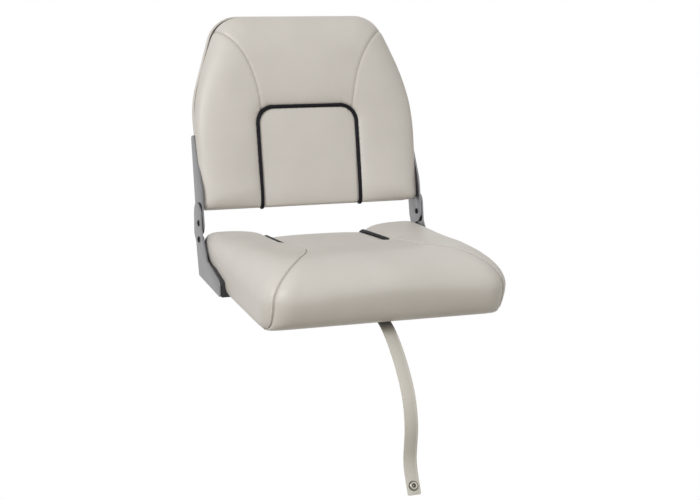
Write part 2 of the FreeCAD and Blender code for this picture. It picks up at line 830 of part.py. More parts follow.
def piping_chain(put, half, corner, ends, fall_radius, fall_angle, down):
    """Chain the edges of piping round a panel: straight runs, round corners and dropped ends.

    put maps (across, along) to a point of the panel's plane, ends are its open and closed end, and
    down is the plane's inward normal.
    """
    near_end, far_end = ends
    way = (put(0.0, far_end) - put(0.0, near_end)).normalize()
    half_turn = fall_angle / 2
    middle = way * -math.sin(half_turn) + down * (1.0 - math.cos(half_turn))
    finish = way * -math.sin(fall_angle) + down * (1.0 - math.cos(fall_angle))
    outline = panel_outline(put, half, corner, far_end, near_end)
    right, left = (put(side * half, near_end) for side in (1.0, -1.0))
    first = arc(right + finish * fall_radius, right + middle * fall_radius, right)
    last = arc(left, left + middle * fall_radius, left + finish * fall_radius)
    return [first] + outline[:5] + [last]


def pipe(edges, radius):
    """Sweep a cord of flat sides along a chain of lines and arcs."""
    first = edges[0]
    begin = first.FirstParameter
    circle = Part.Circle(first.valueAt(begin), first.tangentAt(begin), radius)
    corners = [circle.value(math.tau * (index + 0.5) / PIPING_SIDES) for index in range(PIPING_SIDES)]
    section = Part.Face(Part.makePolygon(corners + corners[:1]))
    runs = []
    for edge in edges:
        curve = edge.Curve
        if isinstance(curve, Part.Circle):
            angle = math.degrees(edge.LastParameter - edge.FirstParameter)
            runs.append(section.revolve(curve.Center, curve.Axis, angle))
            section = section.rotated(curve.Center, curve.Axis, angle)
        else:
            way = edge.valueAt(edge.LastParameter) - edge.valueAt(edge.FirstParameter)
            runs.append(section.extrude(way))
            section = section.translated(way)
    return largest(runs[0].fuse(runs[1:]).removeSplitter())


def largest(shape):
    """Keep the main solid of a cut."""
    return max(shape.Solids, key=lambda solid: solid.Volume)


def soft_part(shape, label, leaning=False):
    """Put a finished soft solid in the document."""
    feature = doc.addObject("Part::Feature", label)
    feature.Shape = shape
    if leaning:
        place_back(feature)
    return keep(feature, label)


seat_front_roll_y = v.seat_front + v.seat_front_roll
seat_rear_roll_y = v.seat_rear - v.seat_rear_roll
seat_tuck_y = v.seat_front + v.seat_tuck
piping_seat = v.piping_radius + v.piping_play
seat_reach = point(0, 0, v.seat_crest_front + REACH)
back_reach = point(0, -v.back_depth - REACH, 0)


def seat_crest(y):
    """Height of the seat's side bolsters between the two rolls."""
    share = (seat_rear_roll_y - y) / (seat_rear_roll_y - seat_front_roll_y)
    return v.seat_crest_rear + (v.seat_crest_front - v.seat_crest_rear) * share


def seat_profile(y):
    """Give the bottom, top, half width and dish of the seat at a distance along it."""
    low = v.seat_bottom
    top = seat_crest(y)
    half = v.seat_half
    share = (y - v.seat_front) / (v.seat_rear - v.seat_front)
    dip = v.seat_dish_front + (v.seat_dish_rear - v.seat_dish_front) * share
    if y < seat_front_roll_y:
        drop = fall((seat_front_roll_y - y) / v.seat_front_roll)
        top = v.seat_nose + (v.seat_crest_front - v.seat_nose) * drop
    if y < seat_tuck_y:
        low = v.seat_nose - (v.seat_nose - v.seat_bottom) * fall((seat_tuck_y - y) / v.seat_tuck)
    if y > seat_rear_roll_y:
        drop = fall((y - seat_rear_roll_y) / v.seat_rear_roll)
        top = v.seat_tail + (v.seat_crest_rear - v.seat_tail) * drop
    if y > v.seat_rear - v.seat_rear_tuck:
        tuck = fall((y - v.seat_rear + v.seat_rear_tuck) / v.seat_rear_tuck)
        low = v.seat_tail - (v.seat_tail - v.seat_bottom) * tuck
    for gap, span, cut in (
        (y - v.seat_front, v.seat_corner_front, v.seat_nose_draw),
        (v.seat_rear - y, v.seat_corner_rear, v.seat_tail_draw),
    ):
        if gap < span:
            half -= cut * (1.0 - (1.0 - (1.0 - gap / span) ** 4) ** 0.25)
    return low, top, half, dip


def seat_stations(shares):
    """List where the seat's cross sections stand, from front to rear."""
    front = [seat_front_roll_y - v.seat_front_roll * share for share in reversed(shares.seat_front)]
    rear = [seat_rear_roll_y + v.seat_rear_roll * share for share in shares.seat_rear]
    span = seat_rear_roll_y - seat_front_roll_y
    middle = [seat_front_roll_y + span * share for share in shares.seat_middle]
    return front + middle + rear


def seat_form(inset, drop):
    """Loft the seat's outer form, drawn in all round by an inset and lowered on top by a drop."""
    middle = (v.seat_front + v.seat_rear) / 2
    shrink = 1.0 - inset * 2 / (v.seat_rear - v.seat_front)
    wires = []
    shares = INSIDE if inset else OUTSIDE
    for y in seat_stations(shares):
        low, top, half, dip = seat_profile(y)
        along = middle + (y - middle) * shrink

        def put(across, up, along=along):
            return point(across, along, up)

        dish = 0.0 if drop or inset else dip
        span = (low + inset, top - inset - drop)
        wires.append(cross_section(
            put, half - inset, v.seat_shoulder, v.seat_draw_in, *span, dish, shares.flats))
    return Part.makeLoft(wires, True, True)


def seat_panel(grow):
    """Extrude the outline of the seat's centre panel, grown by the depth of what lies round it."""
    def put(across, along):
        return point(across, along, 0.0)

    half = v.seat_panel_half + piping_seat + grow
    corner = v.panel_corner + piping_seat + grow
    front = v.seat_panel_front - piping_seat - grow
    return prism(panel_outline(put, half, corner, front, v.seat_rear + REACH), seat_reach)


def seat_layer(inset):
    """Give the whole seat form at a depth below its surface, with the centre panel let in."""
    sunk = seat_panel(inset).cut(seat_form(inset, v.seat_panel_drop))
    return seat_form(inset, 0.0).cut(sunk)


def base_room():
    """Give the room that the base and its hinge pads take in the cushion."""
    half = v.base_half + v.lining
    front = v.base_front - v.lining
    rear = v.base_rear + v.lining
    room = Part.makeBox(2 * half, rear - front, v.base_height + REACH, point(-half, front, -REACH))
    uprights = [edge for edge in room.Edges if edge.BoundBox.ZLength > v.base_height]
    room = room.makeFillet(v.base_corner, uprights)
    inner = v.base_half - v.pad_root
    wide = v.bracket_outer + REACH - inner
    start = v.pad_front - v.lining
    high = v.pad_height + v.lining + REACH
    for low_x in (inner, -inner - wide):
        pad = Part.makeBox(wide, v.seat_rear + REACH - start, high, point(low_x, start, -REACH))
        room = room.fuse(pad)
    return room


def seat_piping_edges():
    """Lay the seat's piping on the floor of its centre panel and over the rear roll."""
    lift = v.piping_radius + v.piping_play - v.seat_panel_drop
    slope = (v.seat_crest_front - v.seat_crest_rear) / (seat_rear_roll_y - seat_front_roll_y)

    def put(across, along):
        return point(across, along, seat_crest(along) + lift)

    down = point(0, -slope, -1).normalize()
    curl = v.seat_rear_roll ** 2 / (v.seat_crest_rear - v.seat_tail)
    ends = (seat_rear_roll_y, v.seat_panel_front)
    return piping_chain(put, v.seat_panel_half, v.panel_corner, ends, curl, PIPING_END_TURN, down)


def make_seat_cushion():
    """Build the seat's foam, its four sewn panels and the piping."""
    room = base_room()
    outside = seat_layer(0.0)
    skin = outside.cut(seat_layer(v.vinyl)).cut(room)
    foam = seat_layer(v.vinyl + v.lining).cut(room)
    edges = seat_piping_edges()
    piping = pipe(edges, v.piping_radius)
    channel = pipe(edges, v.piping_radius + v.piping_play / 2)
    panel = seat_panel(0.0)
    rest = skin.cut(panel)
    front = prism(seat_front_seams(), seat_reach)
    sides = rest.cut(front)
    soft_part(foam.cut(channel), "seat_foam")
    soft_part(largest(skin.common(panel).cut(channel)), "seat_cover_centre")
    soft_part(largest(rest.common(front)), "seat_cover_front")
    for word, side in SIDES.items():
        mine = [solid for solid in sides.Solids if solid.CenterOfMass.x * side > 0]
        soft_part(max(mine, key=lambda solid: solid.Volume), "seat_cover_" + word)
    soft_part(piping, "seat_piping")


def seat_front_seams():
    """Draw the front panel in plan: seams that spread from the centre panel to the front corners."""
    inner = v.seat_panel_half
    begin = v.seat_panel_front + v.panel_corner
    right = [(inner, begin)]
    right.append((inner + v.seat_seam_start_out, v.seat_front + v.seat_seam_start))
    right.append((inner + v.seat_seam_middle_out, v.seat_front + v.seat_seam_middle))
    right.append((inner + v.seat_seam_end_out, v.seat_front + v.seat_seam_end))
    right.append((inner + v.seat_seam_end_out + REACH, v.seat_front - REACH))
    return fan_outline([point(across, along, 0) for across, along in right])


def fan_outline(right):
    """Close an outline that fans out: a line, an arc and a line on the right, mirrored on the left."""
    left = [point(-spot.x, spot.y, spot.z) for spot in right]
    edges = [line(left[0], right[0]), line(right[0], right[1]), arc(right[1], right[2], right[3])]
    edges += [line(right[3], right[4]), line(right[4], left[4]), line(left[4], left[3])]
    edges += [arc(left[3], left[2], left[1]), line(left[1], left[0])]
    return edges


# Back: a stiff shell with the upholstery on its front

back_lean = (v.back_wide_half - v.back_top_half) / (v.back_top - v.back_wide_height)


def make_shell(label):
    """Build the rear shell of the back: a rounded board with bevelled edges behind."""
    body = new_body(label)
    sketch = new_sketch(body, "XZ_Plane", -d.shell_rear)
    corners = [(d.back_bottom_half, d.back_bottom), (d.back_wide_half, d.back_wide_height)]
    corners.append((d.back_top_half, d.back_top))
    corners += [(-across, up) for across, up in reversed(corners)]
    add_polygon(sketch, corners)
    add_feature(body, "Pad", sketch, d.shell_plate)
    for side in SIDES.values():
        round_corners(body, 1, [
            (side * d.back_bottom_half, d.back_bottom, d.back_bottom_corner),
            (side * d.back_wide_half, d.back_wide_height, d.back_wide_round),
            (side * d.back_top_half, d.back_top, d.back_shoulder),
        ])
    bevel_edges(body, d.shell_edge, lies_behind(d.shell_rear))
    sketch = new_sketch(body, "XZ_Plane", -d.shell_rear)
    across = d.arm_outer - d.arm_screw_inset
    for side in SIDES.values():
        for up in arm_screw_places():
            add_flats(sketch, side * across, up, d.screw_radius + d.screw_fit, HEXAGON)
    add_flats(sketch, d.strap_x, d.stud_height, d.snap_post + d.screw_fit, TURNED)
    add_feature(body, "Pocket", sketch, d.arm_screw_length - d.arm_plate + d.screw_fit, backwards=True)
    place_back(body)
    return keep(body, label)


def lies_behind(distance):
    """Make a test for edges that lie wholly in a plane behind the back."""
    def passes(edge):
        box = edge.BoundBox
        return all(abs(end - distance.value) < EDGE_TOLERANCE for end in (box.YMin, box.YMax))

    return passes


def back_half(up):
    """Half width of the back at a height, with its widest corner and its shoulders rounded."""
    below = (up - v.back_bottom) / (v.back_wide_height - v.back_bottom)
    lower = v.back_bottom_half + (v.back_wide_half - v.back_bottom_half) * below
    upper = v.back_wide_half - back_lean * (up - v.back_wide_height)
    half = (lower + upper) / 2 - math.hypot((lower - upper) / 2, v.back_wide_ease)
    slope = math.atan(back_lean)
    centre_up = v.back_top - v.back_shoulder
    centre_half = v.back_top_half - v.back_shoulder * (1.0 - math.sin(slope)) / math.cos(slope)
    if up > centre_up + v.back_shoulder * math.sin(slope):
        half = centre_half + math.sqrt(max(0.0, v.back_shoulder ** 2 - (up - centre_up) ** 2))
    return half


def back_depth(up):
    """Depth of the back cushion at a height, rolled at the bottom and thin at the top edge."""
    low_roll = v.back_bottom + v.back_bottom_roll
    top_roll = v.back_top - v.back_top_roll
    if up < low_roll:
        rise = fall((low_roll - up) / v.back_bottom_roll)
        return v.back_foot_depth + (v.back_depth - v.back_foot_depth) * rise
    if up > top_roll:
        rise = fall((up - top_roll) / v.back_top_roll)
        return v.back_edge_depth + (v.back_depth - v.back_edge_depth) * rise
    return v.back_depth


def back_stations(shares):
    """List where the back's cross sections stand, from the bottom up."""
    low_roll = v.back_bottom + v.back_bottom_roll
    top_roll = v.back_top - v.back_top_roll
    bottom = [low_roll - v.back_bottom_roll * share for share in reversed(shares.back_bottom)]
    middle = [low_roll + (top_roll - low_roll) * share for share in shares.back_middle]
    top = [top_roll + v.back_top_roll * share for share in shares.back_top]
    return bottom + middle + top


def back_form(inset, drop, behind):
    """Loft the back's cushion from the shell forwards, drawn in by an inset and lowered by a drop."""
    middle = (v.back_bottom + v.back_top) / 2
    shrink = 1.0 - inset * 2 / (v.back_top - v.back_bottom)
    wires = []
    shares = INSIDE if inset else OUTSIDE
    for up in back_stations(shares):
        depth = back_depth(up)
        level = middle + (up - middle) * shrink
        top = max(depth - inset - drop, MIN_DEPTH)

        def put(across, out, level=level):
            return point(across, v.shell_front - out, level)

        half = back_half(up) - v.shell_lip + v.back_draw_in * depth / FULL_RISE - inset
        dish = 0.0 if drop or inset else v.back_dish
        wires.append(cross_section(
            put, half, v.back_face_roll, v.back_draw_in, -behind, top, dish, shares.flats))
    return Part.makeLoft(wires, True, True)


def back_panel(grow):
    """Extrude the outline of the back's centre panel forwards from the shell."""
    def put(across, up):
        return point(across, v.shell_rear, up)

    half = v.back_panel_half + piping_seat + grow
    corner = v.panel_corner + piping_seat + grow
    top = v.back_panel_top + piping_seat + grow
    return prism(panel_outline(put, half, corner, top, v.back_bottom - REACH), back_reach)


def back_layer(inset, behind):
    """Give the back's form at a depth below its surface, with the centre panel let in."""
    sunk = back_panel(inset).cut(back_form(inset, v.back_panel_drop, behind))
    return back_form(inset, 0.0, behind).cut(sunk)


def back_top_seams():
    """Draw the top panel: seams that rise from the piping and spread to the shoulders."""
    inner = v.back_panel_half
    right = [(inner, v.back_panel_top - v.panel_corner), (inner, v.back_top - v.back_seam_start)]
    right.append((inner + v.back_seam_middle_out, v.back_top - v.back_seam_middle))
    right.append((inner + v.back_seam_end_out, v.back_top - v.back_seam_end))
    right.append((inner + v.back_seam_end_out + 2 * REACH, v.back_top + REACH))
    return fan_outline([point(across, v.shell_rear, up) for across, up in right])


def back_piping_edges():
    """Lay the back's piping on the floor of its centre panel and round the bottom roll."""
    level = v.shell_front - v.back_depth + v.back_panel_drop - v.piping_radius - v.piping_play

    def put(across, up):
        return point(across, level, up)

    near_end = v.back_bottom + v.back_bottom_roll
    curl = v.back_bottom_roll * PIPING_END_SPREAD
    turn_angle = math.asin((v.back_bottom_roll - v.piping_radius) / curl)
    ends = (near_end, v.back_panel_top)
    return piping_chain(put, v.back_panel_half, v.panel_corner, ends, curl, turn_angle, point(0, 1, 0))


def make_back_cushion():
    """Build the back's foam, its four sewn panels and the piping."""
    skin = back_layer(0.0, 0.0).cut(back_layer(v.vinyl, v.vinyl))
    foam = back_layer(v.vinyl + v.lining, 0.0)
    edges = back_piping_edges()
    piping = pipe(edges, v.piping_radius)
    channel = pipe(edges, v.piping_radius + v.piping_play / 2)
    panel = back_panel(0.0)
    rest = skin.cut(panel)
    top = prism(back_top_seams(), back_reach)
    sides = rest.cut(top)
    soft_part(foam.cut(channel), "back_foam", leaning=True)
    soft_part(largest(skin.common(panel).cut(channel)), "back_cover_centre", leaning=True)
    soft_part(largest(rest.common(top)), "back_cover_top", leaning=True)
    for word, side in SIDES.items():
        mine = [solid for solid in sides.Solids if solid.CenterOfMass.x * side > 0]
        soft_part(max(mine, key=lambda solid: solid.Volume), "back_cover_" + word, leaning=True)
    soft_part(piping, "back_piping", leaning=True)


# Hold-down strap

def strap_path():
    """Join the strap's runs by tangent arcs as large as the runs allow."""
    spots = [point(v.strap_x, y, z) for y, z in STRAP_ROUTE]
    edges = []
    start = spots[0]
    for before, corner, after in zip(spots, spots[1:], spots[2:]):
        toward = (before - corner).normalize()
        away = (after - corner).normalize()
        turned = math.pi - toward.getAngle(away)
        back = BEND_SHARE * min(before.distanceToPoint(corner), after.distanceToPoint(corner))
        radius = back / math.tan(turned / 2)
        entry = corner + toward * back
        leave = corner + away * back
        inward = (toward + away).normalize()
        top = corner + inward * (radius / math.cos(turned / 2) - radius)
        edges += [line(start, entry), arc(entry, top, leave)]
        print("strap bend radius %.0f mm" % radius)
        start = leave
    edges.append(line(start, spots[-1]))
    return edges


def strap_end():
    """Give the direction of the strap's last run and how far below level it points."""
    (y0, z0), (y1, z1) = STRAP_ROUTE[-2:]
    heading = point(0, y1 - y0, z1 - z0).normalize()
    return heading, math.degrees(math.atan2(z0 - z1, y0 - y1))


def snap_place():
    """Give the middle of the press stud on the strap."""
    heading, _ = strap_end()
    tip = point(v.strap_x, *STRAP_ROUTE[-1])
    return tip - heading * v.snap_from_end


def make_strap(label):
    """Build the flat strap along its route, with a round end and holes for its screw and stud."""
    edges = strap_path()
    length = sum(edge.Length for edge in edges)
    wide = v.strap_width / 2
    thick = v.strap_gauge / 2
    start = point(0, *STRAP_ROUTE[0])
    corners = [(-wide, -thick), (wide, -thick), (wide, thick), (-wide, thick)]
    ring = [start + point(v.strap_x + across, 0, up) for across, up in corners]
    band = Part.Wire(edges).makePipeShell([Part.makePolygon(ring + ring[:1])], True, False)
    ratio = band.Volume / (v.strap_width * v.strap_gauge * length)
    print("strap length %.0f mm, volume over section times length %.4f" % (length, ratio))
    tip = point(v.strap_x, *STRAP_ROUTE[-1])
    ends = [edge for edge in band.Edges
            if edge.Length < v.strap_gauge * 1.01 and edge.CenterOfMass.distanceToPoint(tip) < wide * 1.01]
    band = band.makeFillet(v.strap_end_round, ends)
    heading, _ = strap_end()
    normal = point(0, heading.z, -heading.y)
    hole = v.snap_post + v.screw_fit
    deep = v.strap_gauge * 4
    band = band.cut(Part.makeCylinder(hole, deep, snap_place() - normal * (deep / 2), normal))
    anchor = point(v.strap_x, v.strap_screw_y, -deep)
    band = band.cut(Part.makeCylinder(v.screw_radius + v.screw_fit, deep, anchor))
    return soft_part(band, label)


def make_strap_fittings():
    """Build the strap's washer under the base, and the press stud on its end and on the back."""
    low = -d.strap_washer_plate
    washer = stack("strap_washer", [(d.strap_washer_radius, low, size(0.0))])
    bore(washer, d.screw_radius + d.screw_fit, low, size(0.0), HEXAGON)
    place(washer, x=d.strap_x, y=d.strap_screw_y, z=strap_underside)
    keep(washer, "strap_washer")
    half = d.strap_gauge / 2 + d.snap_fit
    floor = half + d.snap_lip
    top = half + d.snap_rise
    rim = d.snap_radius
    mouth = rim * SNAP_MOUTH_SHARE
    cap = stack("snap_cap", [
        (rim * SNAP_CROWN_SHARE, -half - d.snap_cap_rise, -half - d.snap_rim),
        (rim, -half - d.snap_rim, -half), (d.snap_post, -half, floor + d.snap_lip),
    ])
    socket = stack("snap_socket", [(rim, half, half + d.snap_rim), (rim * SNAP_RING_SHARE, half + d.snap_rim, top)])
    bore(socket, mouth, floor, top, TURNED)
    bore(socket, d.snap_post + d.screw_fit, half, floor, TURNED)
    middle = snap_place()
    _, drop = strap_end()
    for body, label in ((cap, "snap_cap"), (socket, "snap_socket")):
        place(body, x=d.strap_x, y=middle.y, z=middle.z, angle=drop)
        keep(body, label)
    stud = stack("SnapStud", [
        (d.snap_post, -d.stud_post, size(0.0)), (rim, size(0.0), d.snap_rim),
        (mouth * STUD_BULB_SHARE, d.snap_rim, d.stud_rise),
    ])
    stud_rig = doc.addObject("Part::Compound", "SnapStudPlace")
    place(stud, x=d.strap_x, y=d.shell_rear, z=d.stud_height, angle=-90.0)
    stud_rig.Links = [stud]
    place_back(stud_rig)
    keep(stud_rig, "snap_stud")


def write_parts():
    """Check every object and write each sub-part to its own file."""
    doc.recompute()
    for thing in doc.Objects:
        if "Invalid" in thing.State or "Error" in thing.State:
            raise RuntimeError("%s did not build: %s" % (thing.Label, thing.State))
    for thing in nodes:
        if thing.Shape.isNull() or not thing.Shape.isValid() or not thing.Shape.Solids:
            raise RuntimeError("%s has no valid solid" % thing.Label)
    os.makedirs("parts", exist_ok=True)
    for thing in nodes:
        print("%-20s %2d solids %10.0f mm3" % (thing.Label, len(thing.Shape.Solids), thing.Shape.Volume))
        thing.Shape.exportStep("parts/%s.step" % thing.Label)


make_base("seat_base")
make_inserts("mount_inserts")
make_hinges()
make_seat_cushion()
make_shell("back_shell")
make_back_cushion()
make_strap("strap")
make_strap_fittings()
write_parts()
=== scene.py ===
"""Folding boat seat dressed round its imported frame: sewn vinyl, hinges, base, strap and studio."""

import logging
import math
from collections.abc import Callable
from dataclasses import dataclass, field
from enum import Enum

import bpy
import numpy as np
from mathutils import Matrix, Vector


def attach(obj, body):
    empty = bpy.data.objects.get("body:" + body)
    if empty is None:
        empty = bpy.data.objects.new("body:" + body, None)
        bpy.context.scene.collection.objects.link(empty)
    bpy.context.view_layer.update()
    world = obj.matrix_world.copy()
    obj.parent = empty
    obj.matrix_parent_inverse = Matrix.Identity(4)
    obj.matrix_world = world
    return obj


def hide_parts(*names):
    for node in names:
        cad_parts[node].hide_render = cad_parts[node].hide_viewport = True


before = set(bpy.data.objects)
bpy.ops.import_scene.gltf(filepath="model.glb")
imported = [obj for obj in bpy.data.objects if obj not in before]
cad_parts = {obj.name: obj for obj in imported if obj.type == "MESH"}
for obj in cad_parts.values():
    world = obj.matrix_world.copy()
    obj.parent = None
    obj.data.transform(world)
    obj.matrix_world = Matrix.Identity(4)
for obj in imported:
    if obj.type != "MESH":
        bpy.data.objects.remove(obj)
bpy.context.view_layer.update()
log = logging.getLogger("boat_seat")

Piece = bpy.types.Object
Node = bpy.types.Node
Tree = bpy.types.NodeTree
Socket = bpy.types.NodeSocket
Corners = list[tuple[float, float, float]]
Pairs = list[tuple[float, float]]

MM = 0.001
TINY = 1e-9
SIDES = {"left": -1, "right": 1}
# Half size of a cutting solid that passes right through the seat, in millimetres
REACH = 600.0
# Hinge line (Y, Z) in millimetres and the back's lean at rest
PIVOT = (186.0, 97.0)
RECLINE = math.radians(12.9)
# Share by which rows and strips crowd towards a panel's edges
CROWD = 0.55


class Body(str, Enum):
    """The two halves that the hinge joins."""

    SEAT = "seat"
    BACK = "backrest"


# Node and colour helpers

def linear(code: str) -> tuple[float, float, float, float]:
    """Turn an sRGB hex colour into linear RGBA.

    Args:
        code: Colour such as "#D0CCC6".

    Returns:
        Red, green, blue and an alpha of 1.
    """
    channels = [int(code[start:start + 2], 16) / 255 for start in (1, 3, 5)]
    curve = [c / 12.92 if c <= 0.04045 else ((c + 0.055) / 1.055) ** 2.4 for c in channels]
    return (*curve, 1.0)


def add_node(tree: Tree, kind: str, values: dict | None = None, links: dict | None = None,
             **settings: object) -> Node:
    """Add one shader node with its settings, values and links.

    Args:
        tree: Node tree of a material or the world.
        kind: Blender's name of the node.
        values: Default values by input name or index.
        links: Output sockets to plug in, by input name or index.
        settings: Properties of the node itself.

    Returns:
        The new node.
    """
    node = tree.nodes.new(kind)
    for name, value in settings.items():
        setattr(node, name, value)
    for name, value in (values or {}).items():
        node.inputs[name].default_value = value
    for name, socket in (links or {}).items():
        tree.links.new(socket, node.inputs[name])
    return node


def per_mm(size: float) -> float:
    """Give the texture scale at which one cell of a pattern is a size in millimetres."""
    return 1.0 / (size * MM)


# Finishes

@dataclass(frozen=True)
class Finish:
    """One finish: its name, colour and how rough and metallic its surface is."""

    name: str
    colour: str
    roughness: float
    metallic: float = 0.0

    def material(self) -> bpy.types.Material:
        """Give the material, made on first use.

        Returns:
            The material with all its nodes.
        """
        made = bpy.data.materials.get(self.name)
        if made:
            return made
        made = bpy.data.materials.new(self.name)
        made.use_nodes = True
        tree = made.node_tree
        shader = tree.nodes["Principled BSDF"]
        shader.inputs["Base Color"].default_value = linear(self.colour)
        shader.inputs["Roughness"].default_value = self.roughness
        shader.inputs["Metallic"].default_value = self.metallic
        self.dress(tree, shader, {"Vector": add_node(tree, "ShaderNodeTexCoord").outputs["Object"]})
        return made

    def dress(self, tree: Tree, shader: Node, here: dict[str, Socket]) -> None:
        """Add the patterns of this kind of surface and plug them in.

        Args:
            tree: The material's node tree.
            shader: Its Principled shader.
            here: Link of Object coordinates to a pattern.
        """
        raise NotImplementedError

    def plug(self, tree: Tree, shader: Node, tone: Socket, tints: tuple[str, str],
             reliefs: list[tuple[Socket, float, float]], painted_shade_and_soil: tuple[str, str] | None = None,
             gloss: tuple[Socket, float, float] | None = None) -> None:
        """Plug the patterns of a surface into its shader.

        Args:
            tree: The material's node tree.
            shader: Its Principled shader.
            tone: Pattern that mixes the two tints.
            tints: Hex colours at the pattern's 0 and 1.
            reliefs: Pattern, strength and depth in millimetres of each layer of relief.
            painted_shade_and_soil: Mesh attribute and hex colour of the painted shade in seams and grooves,
                and the little soil in the vinyl's seams.
            gloss: Pattern, and how far the roughness goes down and up with it.
        """
        colour = add_node(tree, "ShaderNodeMix", {6: linear(tints[0]), 7: linear(tints[1])}, {0: tone},
                          data_type="RGBA").outputs[2]
        # Painted shade, with a little soil in the vinyl's seams, mixed into the colour by a mesh attribute
        if painted_shade_and_soil:
            mask = add_node(tree, "ShaderNodeAttribute", attribute_name=painted_shade_and_soil[0]).outputs["Fac"]
            colour = add_node(tree, "ShaderNodeMix", {7: linear(painted_shade_and_soil[1])}, {0: mask, 6: colour},
                              data_type="RGBA").outputs[2]
        tree.links.new(colour, shader.inputs["Base Color"])
        under = {}
        for height, strength, depth in reliefs:
            bump = add_node(tree, "ShaderNodeBump", {"Strength": strength, "Distance": depth * MM},
                            {"Height": height, **under})
            under = {"Normal": bump.outputs["Normal"]}
        tree.links.new(under["Normal"], shader.inputs["Normal"])
        if gloss:
            pattern, down, up = gloss
            rough = add_node(tree, "ShaderNodeMapRange",
                             {"To Min": self.roughness - down, "To Max": self.roughness + up},
                             {"Value": pattern})
            tree.links.new(rough.outputs["Result"], shader.inputs["Roughness"])


@dataclass(frozen=True)
class VinylFinish(Finish):
    """Marine upholstery vinyl, embossed with a fine leather grain.

    It gives the eye a soft satin sheen, a barely mottled colour, and painted shade with a little soil in the
    seams and painted shadow at the rim. The real grain is finer than this one, which is drawn as coarse as it
    needs to show.
    """

    # Colour of the painted shade, with a little soil, in the seams and of the painted shadow at the rim
    shade: str = "#6E675D"
    mottle: str = "#CBC7C0"
    grain_mm: float = 1.3
    crease_mm: float = 7.0
    mottle_mm: float = 90.0
    emboss: float = 0.35
    grain_depth: float = 0.12
    crease_depth: float = 0.25
    specular: float = 0.5

    def dress(self, tree: Tree, shader: Node, here: dict[str, Socket]) -> None:
        """Add the grain, the mottling and the painted shade in the seams, with Finish.dress's arguments."""
        shader.inputs["Specular IOR Level"].default_value = self.specular
        cloud = add_node(tree, "ShaderNodeTexNoise", {"Scale": per_mm(self.mottle_mm), "Detail": 3.0}, here)
        cells = add_node(tree, "ShaderNodeTexVoronoi", {"Scale": per_mm(self.grain_mm)}, here,
                         feature="SMOOTH_F1").outputs["Distance"]
        crease = add_node(tree, "ShaderNodeTexNoise", {"Scale": per_mm(self.crease_mm), "Detail": 4.0},
                          here).outputs["Fac"]
        # The seam attribute mixes in painted shade with a little soil at the seams, and painted shadow at the
        # rim
        self.plug(tree, shader, cloud.outputs["Fac"], (self.colour, self.mottle),
                  [(cells, self.emboss, self.grain_depth), (crease, self.emboss, self.crease_depth)],
                  ("seam", self.shade), (crease, 0.05, 0.06))


@dataclass(frozen=True)
class MetalFinish(Finish):
    """Sheet or turned metal with a blasted, plated or brushed skin.

    It gives the eye a satin gloss, a slightly clouded tone, rubbed patches and painted shade where a piece
    marks its grooves and edges.
    """

    worn: str = "#C4C4C8"
    # Colour of the painted shade in the grooves and on the edges that a piece marks
    painted_shade: str = "#1C1A17"
    grit_mm: float = 0.5
    grit_depth: float = 0.05
    cloud_mm: float = 30.0
    bite: float = 0.12

    def dress(self, tree: Tree, shader: Node, here: dict[str, Socket]) -> None:
        """Add the grit, the clouded tone and the uneven gloss, with Finish.dress's arguments."""
        cloud, grit = (
            add_node(tree, "ShaderNodeTexNoise", {"Scale": per_mm(size), "Detail": detail},
                     here).outputs["Fac"]
            for size, detail in ((self.cloud_mm, 5.0), (self.grit_mm, 2.0)))
        # A mesh attribute mixes in the painted shade, on the snap socket only
        self.plug(tree, shader, cloud, (self.colour, self.worn), [(grit, self.bite, self.grit_depth)],
                  ("painted_shade", self.painted_shade), (cloud, 0.06, 0.08))


@dataclass(frozen=True)
class MouldedFinish(Finish):
    """Moulded plastic from a spark-eroded tool.

    It gives the eye a fine even stipple, a dull gloss and slightly greyed patches.
    """

    greyed: str = "#26262A"
    stipple_mm: float = 0.9
    stipple_depth: float = 0.1
    patch_mm: float = 45.0

    def dress(self, tree: Tree, shader: Node, here: dict[str, Socket]) -> None:
        """Add the stipple and the greyed patches, with Finish.dress's arguments."""
        patch, stipple = (
            add_node(tree, "ShaderNodeTexNoise", {"Scale": per_mm(size), "Detail": detail},
                     here).outputs["Fac"]
            for size, detail in ((self.patch_mm, 4.0), (self.stipple_mm, 1.0)))
        self.plug(tree, shader, patch, (self.colour, self.greyed), [(stipple, 0.3, self.stipple_depth)],
                  gloss=(patch, 0.06, 0.06))


@dataclass(frozen=True)
class ThreadFinish(Finish):
    """Twisted polyester thread, dull to the eye, with its twist just to be seen."""

    dark: str = "#DDD9D0"
    twist_mm: float = 0.6
    twist_depth: float = 0.1

    def dress(self, tree: Tree, shader: Node, here: dict[str, Socket]) -> None:
        """Add the twist as fine bands of colour and relief, with Finish.dress's arguments."""
        scale = per_mm(self.twist_mm) / math.tau
        twist = add_node(tree, "ShaderNodeTexWave", {"Scale": scale, "Distortion": 1.5}, here,
                         bands_direction="DIAGONAL").outputs["Fac"]
        self.plug(tree, shader, twist, (self.dark, self.colour), [(twist, 0.3, self.twist_depth)])


@dataclass(frozen=True)
class FoamFinish(Finish):
    """Moulded polyurethane foam, open-celled, matt to the eye and a little yellowed."""

    old: str = "#CDBB86"
    cell_mm: float = 1.6
    cell_depth: float = 0.5

    def dress(self, tree: Tree, shader: Node, here: dict[str, Socket]) -> None:
        """Add the open cells, with Finish.dress's arguments."""
        cells = add_node(tree, "ShaderNodeTexVoronoi", {"Scale": per_mm(self.cell_mm)},
                         here).outputs["Distance"]
        self.plug(tree, shader, cells, (self.old, self.colour), [(cells, 0.8, self.cell_depth)])


# Warm white satin vinyl of the cushions and of the shell behind the back
COVER = VinylFinish("cover_vinyl_off_white", "#D9D5D0", 0.44)
SHELL = VinylFinish("shell_vinyl_off_white", "#D9D5D0", 0.46)
